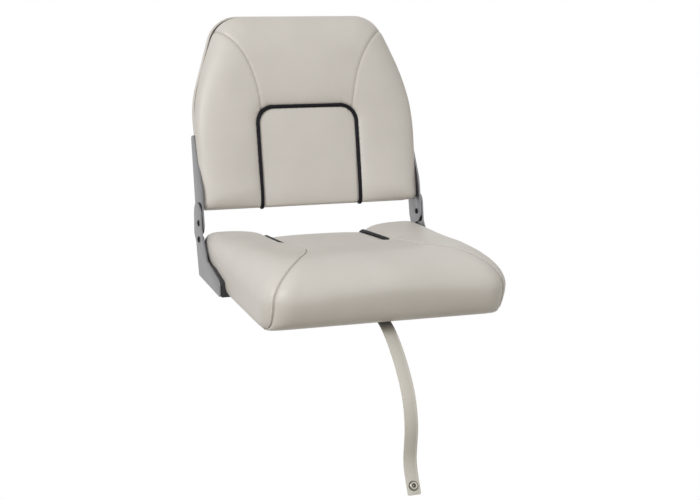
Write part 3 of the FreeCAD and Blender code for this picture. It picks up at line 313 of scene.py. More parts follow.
# Ivory vinyl, a little greyer than the covers
STRAP = VinylFinish("strap_vinyl_ivory", "#D0CEC6", 0.46, shade="#A5A090", mottle="#C4C1B7")
# Nearly black navy vinyl with little sheen
PIPING = VinylFinish("piping_vinyl_navy", "#0A0A11", 0.48, shade="#07070B", mottle="#0F0E16", specular=0.16)
# Dull grey welt whose dark colour is a painted shadow: the dark line round the back's rim
RIM_SHADOW_WELT = VinylFinish("rim_welt_painted_shadow", "#4A4743", 0.6, shade="#3A3835", mottle="#514E49", specular=0.25)
# Blasted and anodised sheet, an even mid grey
HINGE = MetalFinish("hinge_anodised_aluminium", "#7A7A7C", 0.36, 1.0, worn="#8A8A8C")
# Dark plated rivets with a small bright spot
RIVET = MetalFinish("rivet_plated_steel", "#1D1D21", 0.2, 1.0, worn="#303035", cloud_mm=6.0)
# Zinc screws, bluish grey and fairly bright
SCREW = MetalFinish("screw_zinc_steel", "#8E9092", 0.3, 1.0, worn="#A9A9A4", cloud_mm=4.0)
# Warm bright nickel; the socket gets painted shade in its recess and on its rim
NICKEL = MetalFinish("snap_nickel_plate", "#A8A398", 0.2, 1.0, worn="#BAB5AA", cloud_mm=5.0)
# Yellow machined brass
BRASS = MetalFinish("insert_brass", "#B08D4F", 0.32, 1.0, worn="#C6A767", cloud_mm=5.0)
# Black stippled polypropylene and milky nylon
BASE = MouldedFinish("base_moulded_polypropylene", "#131315", 0.52)
NYLON = MouldedFinish("washer_nylon", "#E2E0D8", 0.42, greyed="#D2CFC5")
# White thread, a shade lighter than the covers
THREAD = ThreadFinish("seam_thread_polyester", "#FAF8F4", 0.6)
# Cream foam
FOAM = FoamFinish("core_polyurethane_foam", "#E2D7B4", 0.9)


# Point helpers

def moved(matrix: Matrix, spots: np.ndarray) -> np.ndarray:
    """Move points by a matrix."""
    turn = np.array(matrix)
    return spots @ turn[:3, :3].T + turn[:3, 3]


def stand(spot: Vector, *axes: Vector) -> Matrix:
    """Give the move that puts the origin at a spot and X, Y and Z along three axes."""
    return Matrix.Translation(spot) @ Matrix(axes).transposed().to_4x4()


def runs(spots: np.ndarray, axis: int = 0) -> np.ndarray:
    """Give the distance travelled along one axis of a grid of points, from 0."""
    steps = np.linalg.norm(np.diff(spots, axis=axis), axis=-1)
    return np.insert(np.cumsum(steps, axis=axis), 0, 0.0, axis=axis)


def track_at(run: np.ndarray | float, marks: np.ndarray, track: np.ndarray) -> np.ndarray:
    """Give the points of a track at distances along it, from the distances of its own points."""
    return np.stack([np.interp(run, marks, column) for column in track.T], axis=-1)


def rounded(corners: Corners, steps: int = 24) -> np.ndarray:
    """Draw half an outline from the middle of one end to the middle of the other.

    Args:
        corners: Across, along and corner radius of each corner of the right half.
        steps: Points on each round corner.

    Returns:
        Points (across, along) with straight runs between round corners.
    """
    ends = [(0.0, corners[0][1])] + [corner[:2] for corner in corners] + [(0.0, corners[-1][1])]
    spots = [np.array(ends[0])]
    for before, (across, along, radius), after in zip(ends, corners, ends[2:]):
        corner = np.array([across, along])
        toward = np.array(before) - corner
        away = np.array(after) - corner
        toward /= np.linalg.norm(toward)
        away /= np.linalg.norm(away)
        half_turn = math.acos(np.clip(toward @ away, -1.0, 1.0)) / 2
        reach = radius / math.tan(half_turn)
        inward = (toward + away) / np.linalg.norm(toward + away)
        centre = corner + inward * radius / math.sin(half_turn)
        first = corner + toward * reach - centre
        last = corner + away * reach - centre
        sweep = math.pi - 2 * half_turn
        for share in np.arange(steps + 1) / steps:
            arc = math.sin((1 - share) * sweep) * first + math.sin(share * sweep) * last
            spots.append(centre + arc / math.sin(sweep))
    spots.append(np.array(ends[-1]))
    return np.array(spots)


class Outline:
    """Half of a cushion's plan outline, measured along its length from the open end's middle."""

    def __init__(self, corners: Corners) -> None:
        """Draw the outline from its corners."""
        self.spots = rounded(corners)
        self.run = runs(self.spots)
        self.length = float(self.run[-1])

    def at(self, run: np.ndarray) -> np.ndarray:
        """Give the points at distances along the outline."""
        return track_at(run, self.run, self.spots)

    def nearest(self, across: float, along: float) -> float:
        """Give the distance along the outline of its point nearest to a place."""
        dense = np.linspace(0.0, self.length, 2000)
        return float(dense[int(np.argmin(np.linalg.norm(self.at(dense) - (across, along), axis=1)))])


def bezier(controls: Pairs, share: np.ndarray) -> np.ndarray:
    """Give points of a cubic Bezier curve.

    Args:
        controls: Its four control points (across, along).
        share: Shares of its way, with a last axis of 1.

    Returns:
        A point at each share.
    """
    a, b, c, e = (np.array(control) for control in controls)
    rest = 1.0 - share
    return rest ** 3 * a + 3 * rest ** 2 * share * b + 3 * rest * share ** 2 * c + share ** 3 * e


def dense_at_ends(count: int) -> np.ndarray:
    """Give shares from 0 to 1 that crowd towards both ends."""
    even = np.linspace(0.0, 1.0, count)
    return (1.0 - CROWD) * even + CROWD * (0.5 - 0.5 * np.cos(math.pi * even))


# Mesh helpers

def deselect() -> None:
    """Leave object mode with nothing selected."""
    if bpy.context.object and bpy.context.object.mode != "OBJECT":
        bpy.ops.object.mode_set(mode="OBJECT")
    bpy.ops.object.select_all(action="DESELECT")


def activate(piece: Piece) -> None:
    """Select one piece alone and make it active.

    Args:
        piece: The piece.
    """
    deselect()
    piece.select_set(True)
    bpy.context.view_layer.objects.active = piece


def added(name: str, data: bpy.types.ID) -> Piece:
    """Put a mesh, curve, lamp or camera into the scene.

    Args:
        name: Name of the object.
        data: What it holds.

    Returns:
        The new object.
    """
    piece = bpy.data.objects.new(name, data)
    bpy.context.scene.collection.objects.link(piece)
    return piece


def apply_modifier(piece: Piece, kind: str, **settings: object) -> None:
    """Add a modifier to a piece, set it and apply it.

    Args:
        piece: Mesh object.
        kind: Blender's name of the modifier.
        settings: Properties of the modifier.
    """
    activate(piece)
    modifier = piece.modifiers.new(kind.title(), kind)
    for name, value in settings.items():
        setattr(modifier, name, value)
    bpy.ops.object.modifier_apply(modifier=modifier.name)


def ease(piece: Piece, width: float, segments: int, angle: float = 40.0, **settings: object) -> None:
    """Bevel the edges of a piece that are sharper than an angle in degrees, by a width in millimetres."""
    apply_modifier(piece, "BEVEL", width=width * MM, segments=segments, limit_method="ANGLE",
                   angle_limit=math.radians(angle), **settings)


def smooth(piece: Piece, angle: float) -> None:
    """Shade a piece smooth except over edges sharper than an angle in degrees."""
    activate(piece)
    bpy.ops.object.shade_smooth_by_angle(angle=math.radians(angle))


def finished(piece: Piece, angle: float, finish: Finish) -> Piece:
    """Shade a piece and give it one finish all over.

    Args:
        piece: Mesh object.
        angle: Edges sharper than this, in degrees, stay sharp.
        finish: Its finish.

    Returns:
        The same piece.
    """
    smooth(piece, angle)
    piece.data.materials.clear()
    piece.data.materials.append(finish.material())
    return piece


def bake_place(piece: Piece, matrix: Matrix | None = None) -> None:
    """Put a piece's place into its mesh and leave the object at the origin.

    Args:
        piece: Mesh object.
        matrix: A further move, made after the object's own.
    """
    bpy.context.view_layer.update()
    piece.data.transform(piece.matrix_world)
    piece.matrix_world = Matrix.Identity(4)
    if matrix is not None:
        piece.data.transform(matrix)


def start(name: str) -> Piece:
    """Name the primitive that was just added and put its place into its mesh.

    Args:
        name: Name of the piece.

    Returns:
        The piece.
    """
    piece = bpy.context.object
    piece.name = name
    bake_place(piece)
    return piece


def select_mesh() -> None:
    """Go to edit mode with the whole mesh of the active piece selected."""
    bpy.ops.object.mode_set(mode="EDIT")
    bpy.ops.mesh.select_all(action="SELECT")


def face_out() -> None:
    """Turn all faces of the active piece outwards and leave edit mode."""
    select_mesh()
    bpy.ops.mesh.normals_make_consistent(inside=False)
    bpy.ops.object.mode_set(mode="OBJECT")


def mark(piece: Piece, name: str, values: np.ndarray) -> None:
    """Give each vertex of a piece a value that its finish reads."""
    attribute = piece.data.attributes.new(name, "FLOAT", "POINT")
    attribute.data.foreach_set("value", values.astype(np.float32).ravel())


def vertices_of(piece: Piece) -> np.ndarray:
    """Give the places of a mesh object's vertices."""
    return np.array([vertex.co for vertex in piece.data.vertices])


def file_piece(piece: Piece, body: Body, slot: str, *nodes: str) -> Piece:
    """Hang a piece on the empty of the half it moves with and hide the CAD nodes that it replaces.

    Args:
        piece: The finished piece.
        body: Half of the seat that it moves with.
        slot: Not used.
        nodes: CAD nodes that it replaces.

    Returns:
        The same piece.
    """
    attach(piece, body.value)
    if nodes:
        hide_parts(*nodes)
    log.info("%s on %s, %d faces", piece.name, body.value, len(piece.data.polygons))
    return piece


def turned(name: str, profile: Pairs, segments: int = 40) -> Piece:
    """Turn a solid on the Z axis by extruding a circle from corner to corner of its profile.

    Args:
        name: Name of the piece.
        profile: Radius and height of each corner, in millimetres, from the lower end up.
        segments: Sides of the circle.

    Returns:
        The turned mesh, closed at both ends.
    """
    deselect()
    radius, height = profile[0]
    bpy.ops.mesh.primitive_circle_add(vertices=segments, radius=radius * MM, fill_type="NGON",
                                      location=(0.0, 0.0, height * MM))
    piece = start(name)
    select_mesh()
    for next_radius, next_height in profile[1:]:
        bpy.ops.mesh.extrude_region()
        share = next_radius / radius
        bpy.ops.transform.resize(value=(share, share, 1.0))
        bpy.ops.transform.translate(value=(0.0, 0.0, (next_height - height) * MM))
        radius, height = next_radius, next_height
    face_out()
    return piece


def extruded(name: str, outline: np.ndarray, shift: tuple[float, float, float]) -> Piece:
    """Extrude a flat outline into a solid.

    Args:
        name: Name of the solid.
        outline: Its corners in millimetres.
        shift: How far and which way it is extruded, in millimetres.

    Returns:
        The solid.
    """
    deselect()
    bpy.ops.mesh.primitive_circle_add(vertices=len(outline), radius=1.0, fill_type="NGON")
    piece = start(name)
    piece.data.vertices.foreach_set("co", (outline * MM).astype(np.float32).ravel())
    select_mesh()
    bpy.ops.mesh.extrude_region()
    bpy.ops.transform.translate(value=[step * MM for step in shift])
    face_out()
    return piece


def prism(name: str, corners: Pairs, across: tuple[float, float]) -> Piece:
    """Extrude an outline in the Y-Z plane along X, between two places in millimetres."""
    outline = np.array([(across[0], along, up) for along, up in corners])
    return extruded(name, outline, (across[1] - across[0], 0.0, 0.0))


def cut(piece: Piece, tool: Piece) -> None:
    """Cut one solid out of a piece and use the solid up."""
    apply_modifier(piece, "BOOLEAN", object=tool, operation="DIFFERENCE", solver="EXACT")
    bpy.data.objects.remove(tool)


def copies(name: str, pattern: Piece, places: list[Matrix]) -> Piece:
    """Copy one modelled shape to many places, in one mesh.

    Args:
        name: Name of the piece.
        pattern: Shape at the origin, which is used up.
        places: Where each copy goes.

    Returns:
        The piece with all the copies.
    """
    spots = vertices_of(pattern)
    loops = [list(polygon.vertices) for polygon in pattern.data.polygons]
    vertices, faces = [], []
    for number, place in enumerate(places):
        vertices.append(moved(place, spots))
        faces += [[corner + number * len(spots) for corner in loop] for loop in loops]
    mesh = bpy.data.meshes.new(name)
    mesh.from_pydata(np.concatenate(vertices).tolist(), [], faces)
    bpy.data.objects.remove(pattern)
    return added(name, mesh)


def stitching(name: str, size: tuple[float, float, float], places: list[Matrix]) -> Piece:
    """Lay one stitch of thread at each place.

    Args:
        name: Name of the piece.
        size: Whole size of a stitch in millimetres.
        places: Where each stitch goes.

    Returns:
        All the stitches in one mesh.
    """
    deselect()
    bpy.ops.mesh.primitive_uv_sphere_add(segments=8, ring_count=5, radius=0.5)
    pattern = bpy.context.object
    pattern.data.transform(Matrix.Diagonal((*(side * MM for side in size), 1.0)))
    return finished(copies(name, pattern, places), 180.0, THREAD)


def node_copy(node: str, name: str, finish: Finish, bevel: float = 0.0, segments: int = 2) -> Piece:
    """Copy a CAD node as a clean mesh, break its sharp edges and give it a finish.

    Args:
        node: CAD node.
        name: Name of the new piece.
        finish: Its finish.
        bevel: Width of the broken edges in millimetres, or 0 to leave them.
        segments: Facets across each broken edge.

    Returns:
        The new piece.
    """
    piece = added(name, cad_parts[node].data.copy())
    activate(piece)
    select_mesh()
    bpy.ops.mesh.remove_doubles(threshold=0.002 * MM)
    bpy.ops.mesh.dissolve_limited(angle_limit=math.radians(1.0))
    bpy.ops.object.mode_set(mode="OBJECT")
    if bevel:
        ease(piece, bevel, segments, use_clamp_overlap=True)
    return finished(piece, 30.0, finish)


def swept(name: str, spots: np.ndarray, resolution: int = 2, radius: float = 0.0) -> Piece:
    """Sweep a round cord along points, on one smooth curve.

    Args:
        name: Name of the piece.
        spots: Points of its middle line in metres.
        resolution: Steps from point to point.
        radius: Its radius in millimetres, or 0 for a bare line.

    Returns:
        The cord as a mesh.
    """
    curve = bpy.data.curves.new(name, "CURVE")
    curve.dimensions = "3D"
    curve.bevel_depth = radius * MM
    curve.bevel_resolution = 6
    curve.use_fill_caps = True
    spline = curve.splines.new("NURBS")
    spline.points.add(len(spots) - 1)
    for point, spot in zip(spline.points, spots):
        point.co = (*spot, 1.0)
    spline.order_u = 3
    spline.use_endpoint_u = True
    spline.resolution_u = resolution
    activate(added(name, curve))
    bpy.ops.object.convert(target="MESH")
    return bpy.context.object


# Cushions

class Edge(Enum):
    """The three sewn edges that a panel can have."""

    START = "start"
    END = "end"
    INNER = "inner"


@dataclass
class Cushion:
    """A sewn cushion in its own plan frame: across, along and height, in millimetres.

    The centre panel runs from its closed end, with round corners, to the open end of the cushion. A fan
    panel lies past the closed end, and a side panel on each side. Strips run from the centre panel's edge
    over the top, round the roll, down the wall and under the hem.
    """

    word: str
    far_word: str
    body: Body
    # Outlines at the widest height and at the foot, and the seam from the panel's corner to the nose
    nose_corners: Corners
    foot_corners: Corners
    seam: Pairs
    seam_foot: tuple[float, float]
    # Share of the nose outline, roll radius and height of the widest line
    rolls: Corners
    panel_half: float
    panel_closed: float
    # Along and height of the bolsters at both ends, and how they fall to the piping
    crest_open: tuple[float, float]
    crest_far: tuple[float, float]
    drop: float
    drop_reach: float
    drop_stretch: tuple[float, float]
    crown: float
    foot_height: float
    hem: float
    tuck: tuple[float, float]
    frame_matrix: Matrix
    fill: float = 0.85
    panel_corner: float = 30.0
    # Where on the panel's edge the seam starts, as panel_edge() counts it
    seam_start: float = 1.5
    roll_limit: float = 0.92
    tuck_curve: float = 1.65
    hem_dip: float = 0.4
    fall_length: float = 9.0
    stretch_band: tuple[float, float] = (0.45, 0.95)
    crown_curve: float = 2.5
    vinyl: float = 1.2
    piping_radius: float = 3.3
    piping_gap: float = 1.4
    piping_wall_rows: int = 22
    # How deep the piping lies at the closed end, and the part of the panel's edge over which it sinks
    closed_sink: float = 0.0
    sink_band: tuple[float, float] = (1.1, 1.6)
    seam_depth: float = 2.4
    seam_width: float = 6.0
    puff_depth: float = 1.3
    puff_width: float = 16.0
    # Depth of the puckers, and pitch, share and phase of their two waves
    pucker: float = 0.22
    pucker_reach: float = 8.0
    pucker_start: float = 2.0
    pucker_waves: tuple[tuple[float, float, float], ...] = ((11.0, 1.0, 0.0), (17.3, 0.7, 1.1))
    topstitch: float = 3.6
    stitch_dip: tuple[float, float] = (0.45, 1.1)
    stitch_pitch: float = 4.6
    stitch_lift: float = 0.5
    stitch_size: tuple[float, float, float] = (3.864, 1.3, 1.0)
    # Strength and width of the painted shade, with a little soil, in the seams, and of the painted shadow at
    # the rim
    seam_shade_and_soil: tuple[float, float] = (0.45, 1.6)
    rim_painted_shadow: tuple[float, float] = (0.3, 1.4)
    # Rows of the flat top, the roll, the wall and the hem, and how the top's rows crowd inwards
    rows: tuple[int, int, int, int] = (46, 30, 22, 4)
    row_crowd: float = 1.5
    columns: int = 110
    core_inset: float = 14.0
    core_floor: float = -25.2
    core_voxel: float = 6.0
    core_lip: float = 4.0
    core_rest: float = 0.6

    def __post_init__(self) -> None:
        """Draw the outlines and find where the panels meet them."""
        self.nose = Outline(self.nose_corners)
        self.foot = Outline(self.foot_corners)
        self.nose_marks = (self.panel_half, self.nose.nearest(*self.seam[-1]), self.nose.length)
        self.foot_marks = (self.panel_half, self.foot.nearest(*self.seam_foot), self.foot.length)

    def panel_edge(self, run: np.ndarray, grow: float) -> np.ndarray:
        """Give points along the centre panel's edge, from the open end to the middle of the closed end.

        Args:
            run: Shares of the edge: 0 to 1 along the straight side, 1 to 2 round the corner, 2 to 3 along
                the closed end.
            grow: How far outside the panel's line the points lie.

        Returns:
            Points (across, along).
        """
        half = self.panel_half + grow
        corner = self.panel_corner + grow
        closed = self.panel_closed - grow
        open_end = self.nose_corners[0][1] - self.rolls[0][1]
        side = np.clip(run, 0.0, 1.0)
        turn = np.clip(run - 1.0, 0.0, 1.0) * math.pi / 2
        end = np.clip(run - 2.0, 0.0, 1.0)
        across = half - corner + corner * np.cos(turn) - (half - corner) * end
        along = open_end + (closed + corner - open_end) * side - corner * np.sin(turn)
        return np.stack([across, along], axis=-1)

    def crest(self, along: np.ndarray) -> np.ndarray:
        """Give the bolsters' height between the open and the far end.

        Args:
            along: Places along the cushion.

        Returns:
            Height at each place.
        """
        (open_at, open_height), (far_at, far_height) = self.crest_open, self.crest_far
        share = np.clip((along - open_at) / (far_at - open_at), -0.25, 1.0)
        return open_height + (far_height - open_height) * share

    def top(self, plan: np.ndarray) -> np.ndarray:
        """Give the upholstery's height over the plan, falling from the bolsters to the piping.

        Args:
            plan: Points (across, along).

        Returns:
            Height at each point.
        """
        across, along = np.abs(plan[..., 0]), plan[..., 1]
        corner = self.panel_corner
        over = np.maximum(across - (self.panel_half - corner), 0.0)
        past = np.maximum(self.panel_closed + corner - along, 0.0)
        low, high = (share * self.panel_half for share in self.stretch_band)
        stretch = np.interp(across, (low, high), self.drop_stretch)
        past = np.where(past > corner, corner + (past - corner) / stretch, past)
        away = np.clip(np.hypot(over, past) - corner, 0.0, self.drop_reach)
        share = 1.0 - away / self.drop_reach
        fall = 0.5 * share ** 2 + 0.5 * np.exp(-away / self.fall_length) * share
        return self.crest(along) - self.drop * np.clip(fall, 0.0, 1.0)

    def floor(self, plan: np.ndarray) -> np.ndarray:
        """Give the height of the let-in centre panel, lightly crowned, over the plan."""
        across = np.clip(np.abs(plan[..., 0]) / self.panel_half, 0.0, 1.0)
        return self.crest(plan[..., 1]) - self.drop + self.crown * (1.0 - across ** self.crown_curve)

    def strip(self, inner: np.ndarray, nose_run: np.ndarray, foot_run: np.ndarray, bend: np.ndarray,
              height: Callable[[np.ndarray], np.ndarray], mirror: float = 1.0) -> np.ndarray:
        """Lay a panel's grid of strips from the inner edge to the hem.

        Args:
            inner: Plan points on the inner edge, one for each strip.
            nose_run: Distances along the widest outline.
            foot_run: Distances along the foot outline.
            bend: How much each strip follows the seam's curve, from -1 to 1.
            height: Function that gives the height over plan points.
            mirror: -1 to lay the left half.

        Returns:
            Grid of points, rows from the inner edge outwards.
        """
        side = np.stack([np.sign(nose_run + TINY), np.ones_like(nose_run)], axis=-1)
        nose = self.nose.at(np.abs(nose_run)) * side
        foot = self.foot.at(np.abs(foot_run)) * side
        shares = np.abs(nose_run) / self.nose.length
        marks, radii, heights = zip(*self.rolls)
        nose_height = np.interp(shares, marks, heights)
        reach = np.linalg.norm(nose - inner, axis=1)
        roll = np.minimum(np.interp(shares, marks, radii), self.roll_limit * reach) / reach
        flat_rows, roll_rows, wall_rows, hem_rows = self.rows
        flat = np.linspace(0.0, 1.0, flat_rows)[:, None] ** self.row_crowd * (1.0 - roll)
        angle = np.linspace(0.0, math.pi / 2, roll_rows + 1)[1:, None]
        way = np.concatenate([flat, 1.0 - roll * (1.0 - np.sin(angle))])[..., None]
        first, last = np.array(self.seam[0]), np.array(self.seam[-1])
        sag = bezier(self.seam, way) - (first + (last - first) * way)
        sag[..., 0] *= np.sign(bend + TINY)
        plan = inner + (nose - inner) * way + sag * np.abs(bend)[:, None]
        lean = np.concatenate([np.ones((flat_rows, 1)), np.cos(angle)])
        up = nose_height + (height(plan) - nose_height) * lean
        wall = np.linspace(0.0, 1.0, wall_rows + 1)[1:, None]
        early, late = self.tuck
        drawn = early * wall ** self.tuck_curve + (1.0 - early) * wall ** late
        wall_plan = nose + (foot - nose) * drawn[..., None]
        wall_up = nose_height + (self.foot_height - nose_height) * wall
        inward = inner - foot
        inward /= np.linalg.norm(inward, axis=1)[:, None]
        under = np.linspace(0.0, 1.0, hem_rows + 1)[1:, None]
        hem_plan = foot + inward * under[..., None] * self.hem
        hem_up = self.foot_height - self.hem_dip * np.sqrt(under) * np.ones(len(inner))
        grid = np.concatenate([np.dstack(part) for part in (
            (plan, up), (wall_plan, wall_up), (hem_plan, hem_up))])
        grid[..., 0] *= mirror
        return grid

    def sew(self, grid: np.ndarray, edges: set[Edge]) -> tuple[np.ndarray, np.ndarray]:
        """Draw a panel's sewn edges down into their seams.

        Args:
            grid: Grid of points from strip().
            edges: Edges that are sewn to another panel.

        Returns:
            The drawn-in grid, and a mask of painted shade, with a little soil, at the seams and of painted
            shadow at the rim.
        """
        normal = np.cross(np.gradient(grid, axis=1), np.gradient(grid, axis=0))
        normal /= np.linalg.norm(normal, axis=2)[..., None] + TINY
        if normal[: self.rows[0]].mean(axis=(0, 1))[2] < 0.0:
            normal = -normal
        from_start, from_inner = runs(grid, 1), runs(grid, 0)
        gaps = {Edge.START: from_start, Edge.END: from_start[:, -1:] - from_start, Edge.INNER: from_inner}
        mask = np.zeros(grid.shape[:2])
        sink = np.zeros(grid.shape[:2])
        for edge in [edge for edge in Edge if edge in edges]:
            away = gaps[edge]
            run = from_start if edge is Edge.INNER else from_inner
            near = np.clip(1.0 - away / self.seam_width, 0.0, 1.0)
            sink += self.seam_depth * (1.0 - np.sqrt(1.0 - near ** 2))
            sink += self.puff_depth * np.exp(-away / self.puff_width)
            waves = sum(part * np.sin(run * math.tau / pitch + phase)
                        for pitch, part, phase in self.pucker_waves)
            ripple = np.exp(-away / self.pucker_reach) * np.clip(away / self.pucker_start, 0.0, 1.0)
            sink += self.pucker * waves * ripple
            if edge is not Edge.INNER:
                depth, width = self.stitch_dip
                sink += depth * np.exp(-((away - self.topstitch) / width) ** 2)
            # Painted shade, with a little soil, along the sewn edges
            shade_and_soil, width = self.seam_shade_and_soil
            mask = np.maximum(mask, shade_and_soil * np.exp(-(away / width) ** 2))
        # Painted shadow along the rim, just above the hem
        shade_and_soil, width = self.rim_painted_shadow
        above = np.minimum(from_inner - from_inner[-self.rows[3] - 1], 0.0)
        mask = np.maximum(mask, shade_and_soil * np.exp(-(above / width) ** 2))
        return grid - normal * sink[..., None], mask

    def place(self, spots: np.ndarray) -> np.ndarray:
        """Turn plan points in millimetres into points of the frame in metres."""
        return moved(self.frame_matrix, spots) * MM

    def panel(self, name: str, grid: np.ndarray, mask: np.ndarray) -> Piece:
        """Make a panel's mesh from a grid primitive and give it the vinyl's thickness.

        Args:
            name: Name of the piece.
            grid: Sewn grid of points.
            mask: Mask of painted shade, with a little soil, and painted rim shadow, of the same shape.

        Returns:
            The panel with its mask of painted shade and soil as an attribute.
        """
        middle = grid[: self.rows[0]]
        facing = np.cross(np.gradient(middle, axis=1), np.gradient(middle, axis=0))[..., 2].mean()
        if facing < 0.0:
            grid, mask = grid[:, ::-1], mask[:, ::-1]
        rows, columns = grid.shape[:2]
        deselect()
        bpy.ops.mesh.primitive_grid_add(x_subdivisions=columns - 1, y_subdivisions=rows - 1, size=1.0)
        piece = start(name)
        spots = self.place(grid.reshape(-1, 3))
        piece.data.vertices.foreach_set("co", spots.astype(np.float32).ravel())
        # The seam attribute carries the painted shade, with a little soil, and the painted rim shadow
        mark(piece, "seam", mask)
        piece.data.update()
        apply_modifier(piece, "SOLIDIFY", thickness=self.vinyl * MM, offset=-1.0)
        return finished(piece, 60.0, COVER)

    def outer_runs(self, share: np.ndarray, first: int) -> list[np.ndarray]:
        """Give distances along the nose and foot outlines, from one mark to the next."""
        return [marks[first] + (marks[first + 1] - marks[first]) * share
                for marks in (self.nose_marks, self.foot_marks)]

    def side_grid(self, mirror: float) -> tuple[np.ndarray, np.ndarray]:
        """Lay and sew one side panel.

        Args:
            mirror: -1 for the left panel and 1 for the right one.

        Returns:
            Its grid and its seam mask.
        """
        share = dense_at_ends(self.columns)
        inner = self.panel_edge(share * self.seam_start, self.piping_gap)
        grid = self.strip(inner, *self.outer_runs(share, 0), share ** 3, self.top, mirror)
        return self.sew(grid, {Edge.END, Edge.INNER})

    def fan_grid(self) -> tuple[np.ndarray, np.ndarray]:
        """Lay and sew the fan panel between the two seams.

        Returns:
            Its grid and its seam mask.
        """
        share = dense_at_ends(self.columns) * 2.0 - 1.0
        sign, out = np.sign(share + TINY), np.abs(share)
        inner = self.panel_edge(3.0 - out * (3.0 - self.seam_start), self.piping_gap)
        inner[:, 0] *= sign
        nose_run, foot_run = self.outer_runs(1.0 - out, 1)
        grid = self.strip(inner, nose_run * sign, foot_run * sign, sign * out ** 3, self.top)
        return self.sew(grid, set(Edge))

    def centre_grid(self) -> tuple[np.ndarray, np.ndarray]:
        """Lay and sew the let-in centre panel, from its closed end to the open end of the cushion.

        Returns:
            Its grid and its seam mask.
        """
        share = dense_at_ends(self.columns) * 2.0 - 1.0
        half = self.panel_half - self.piping_gap
        corner = self.panel_corner - self.piping_gap
        across = share * half
        over = np.maximum(np.abs(across) - (half - corner), 0.0)
        round_end = corner - np.sqrt(np.maximum(corner ** 2 - over ** 2, 0.0))
        inner = np.stack([across, self.panel_closed + self.piping_gap + round_end], axis=-1)
        grid = self.strip(inner, across, across, np.zeros_like(share), self.floor)
        return self.sew(grid, set(Edge))

    def piping_path(self) -> np.ndarray:
        """Give the piping's middle line, from one end under the open end round the panel to the other.

        Returns:
            Points in the plan frame.
        """
        lift = self.piping_radius - self.seam_depth * 0.7
        run = np.array([self.panel_half])
        bottom = self.rows[0] + self.rows[1] + self.piping_wall_rows
        inner = self.panel_edge(np.zeros(1), 0.0)
        fall = self.strip(inner, run, run, np.zeros(1), self.top)[self.rows[0]: bottom, 0]
        shares = np.linspace(0.0, 3.0, 90)
        edge = self.panel_edge(shares, 0.0)
        first, last = self.sink_band
        sunk = self.closed_sink * np.clip((shares - first) / (last - first), 0.0, 1.0)
        line = np.concatenate([edge, (self.top(edge) - sunk)[:, None]], axis=1)
        half = np.concatenate([fall[::-1], line])
        slope = np.gradient(half, axis=0)
        slope /= np.linalg.norm(slope, axis=1)[:, None]
        half[: len(fall)] += np.cross(slope[: len(fall)], (1.0, 0.0, 0.0)) * lift
        half[len(fall):, 2] += lift
        return np.concatenate([half, (half * (-1.0, 1.0, 1.0))[::-1][1:]])

    def stitches(self, name: str, grids: list[np.ndarray]) -> Piece:
        """Sew a row of thread beside the last strip of each panel.

        Args:
            name: Name of the piece.
            grids: Sewn grids of the panels.

        Returns:
            All the stitches in one mesh.
        """
        places = []
        middle_along = (self.nose_corners[0][1] + self.nose_corners[-1][1]) / 2
        middle = Vector(self.place(np.array([0.0, middle_along, self.foot_height])))
        for grid in grids:
            rows = grid[: -self.rows[3] - 1, ::-1]
            away = runs(rows, 1)
            line, inside = (
                self.place(np.array([track_at(inset, gaps, row) for gaps, row in zip(away, rows)]))
                for inset in (self.topstitch, self.topstitch + 2.0))
            run = runs(line)
            for at in np.arange(self.stitch_pitch, run[-1] / MM - self.stitch_pitch, self.stitch_pitch):
                spot, ahead, beside = (
                    Vector(track_at(spot_at * MM, run, track))
                    for spot_at, track in ((at, line), (at + 1.0, line), (at, inside)))
                heading = (ahead - spot).normalized()
                rise = heading.cross((beside - spot).normalized()).normalized()
                if rise.dot(spot - middle) < 0.0:
                    rise.negate()
                places.append(stand(spot + rise * self.stitch_lift * MM, heading, rise.cross(heading), rise))
        return stitching(name, self.stitch_size, places)

    def core(self, name: str, node: str) -> Piece:
        """Make the foam core inside the covers from its solid, a little smaller.

        Args:
            name: Name of the piece.
            node: CAD node of the foam.

        Returns:
            The core.
        """
        piece = node_copy(node, name, FOAM)
        scale = Matrix.Diagonal((MM, MM, MM, 1.0))
        home = scale @ self.frame_matrix
        piece.data.transform(home.inverted())
        skirt = [(-REACH, -REACH), (-REACH, self.core_floor), (REACH, self.core_floor), (REACH, -REACH)]
        below = prism("core_skirt", skirt, (-REACH, REACH))
        below.data.transform(scale.inverted())
        cut(piece, below)
        apply_modifier(piece, "REMESH", mode="VOXEL", voxel_size=self.core_voxel)
        apply_modifier(piece, "SMOOTH", factor=0.5, iterations=6)
        apply_modifier(piece, "DISPLACE", strength=-self.core_inset, mid_level=0.0)
        for vertex in piece.data.vertices:
            if vertex.co.z < self.core_floor + self.core_inset + self.core_lip:
                vertex.co.z = self.core_floor + self.core_rest
        piece.data.transform(home)
        return finished(piece, 180.0, FOAM)

    def build(self) -> None:
        """Build the covers, the piping, the stitches and the core, and file them."""
        sewn = {"centre": self.centre_grid(), self.far_word: self.fan_grid()}
        sewn.update((side, self.side_grid(float(mirror))) for side, mirror in SIDES.items())
        for panel_word, (grid, mask) in sewn.items():
            node = "%s_cover_%s" % (self.word, panel_word)
            piece = self.panel(node + "_sewn", grid, mask)
            self.trim(piece, panel_word)
            file_piece(piece, self.body, "cover_vinyl", node)
        piping = swept(self.word + "_piping_sewn", self.place(self.piping_path()), radius=self.piping_radius)
        file_piece(finished(piping, 60.0, PIPING), self.body, "piping_vinyl", self.word + "_piping")
        thread = self.stitches(self.word + "_topstitching", [sewn[side][0] for side in SIDES])
        file_piece(thread, self.body, "cover_vinyl")
        core = self.core(self.word + "_foam_core", self.word + "_foam")
        file_piece(core, self.body, "foam", self.word + "_foam")

    def trim(self, piece: Piece, panel_word: str) -> None:
        """Cut a panel where something rigid passes it; a plain cushion needs no cut."""


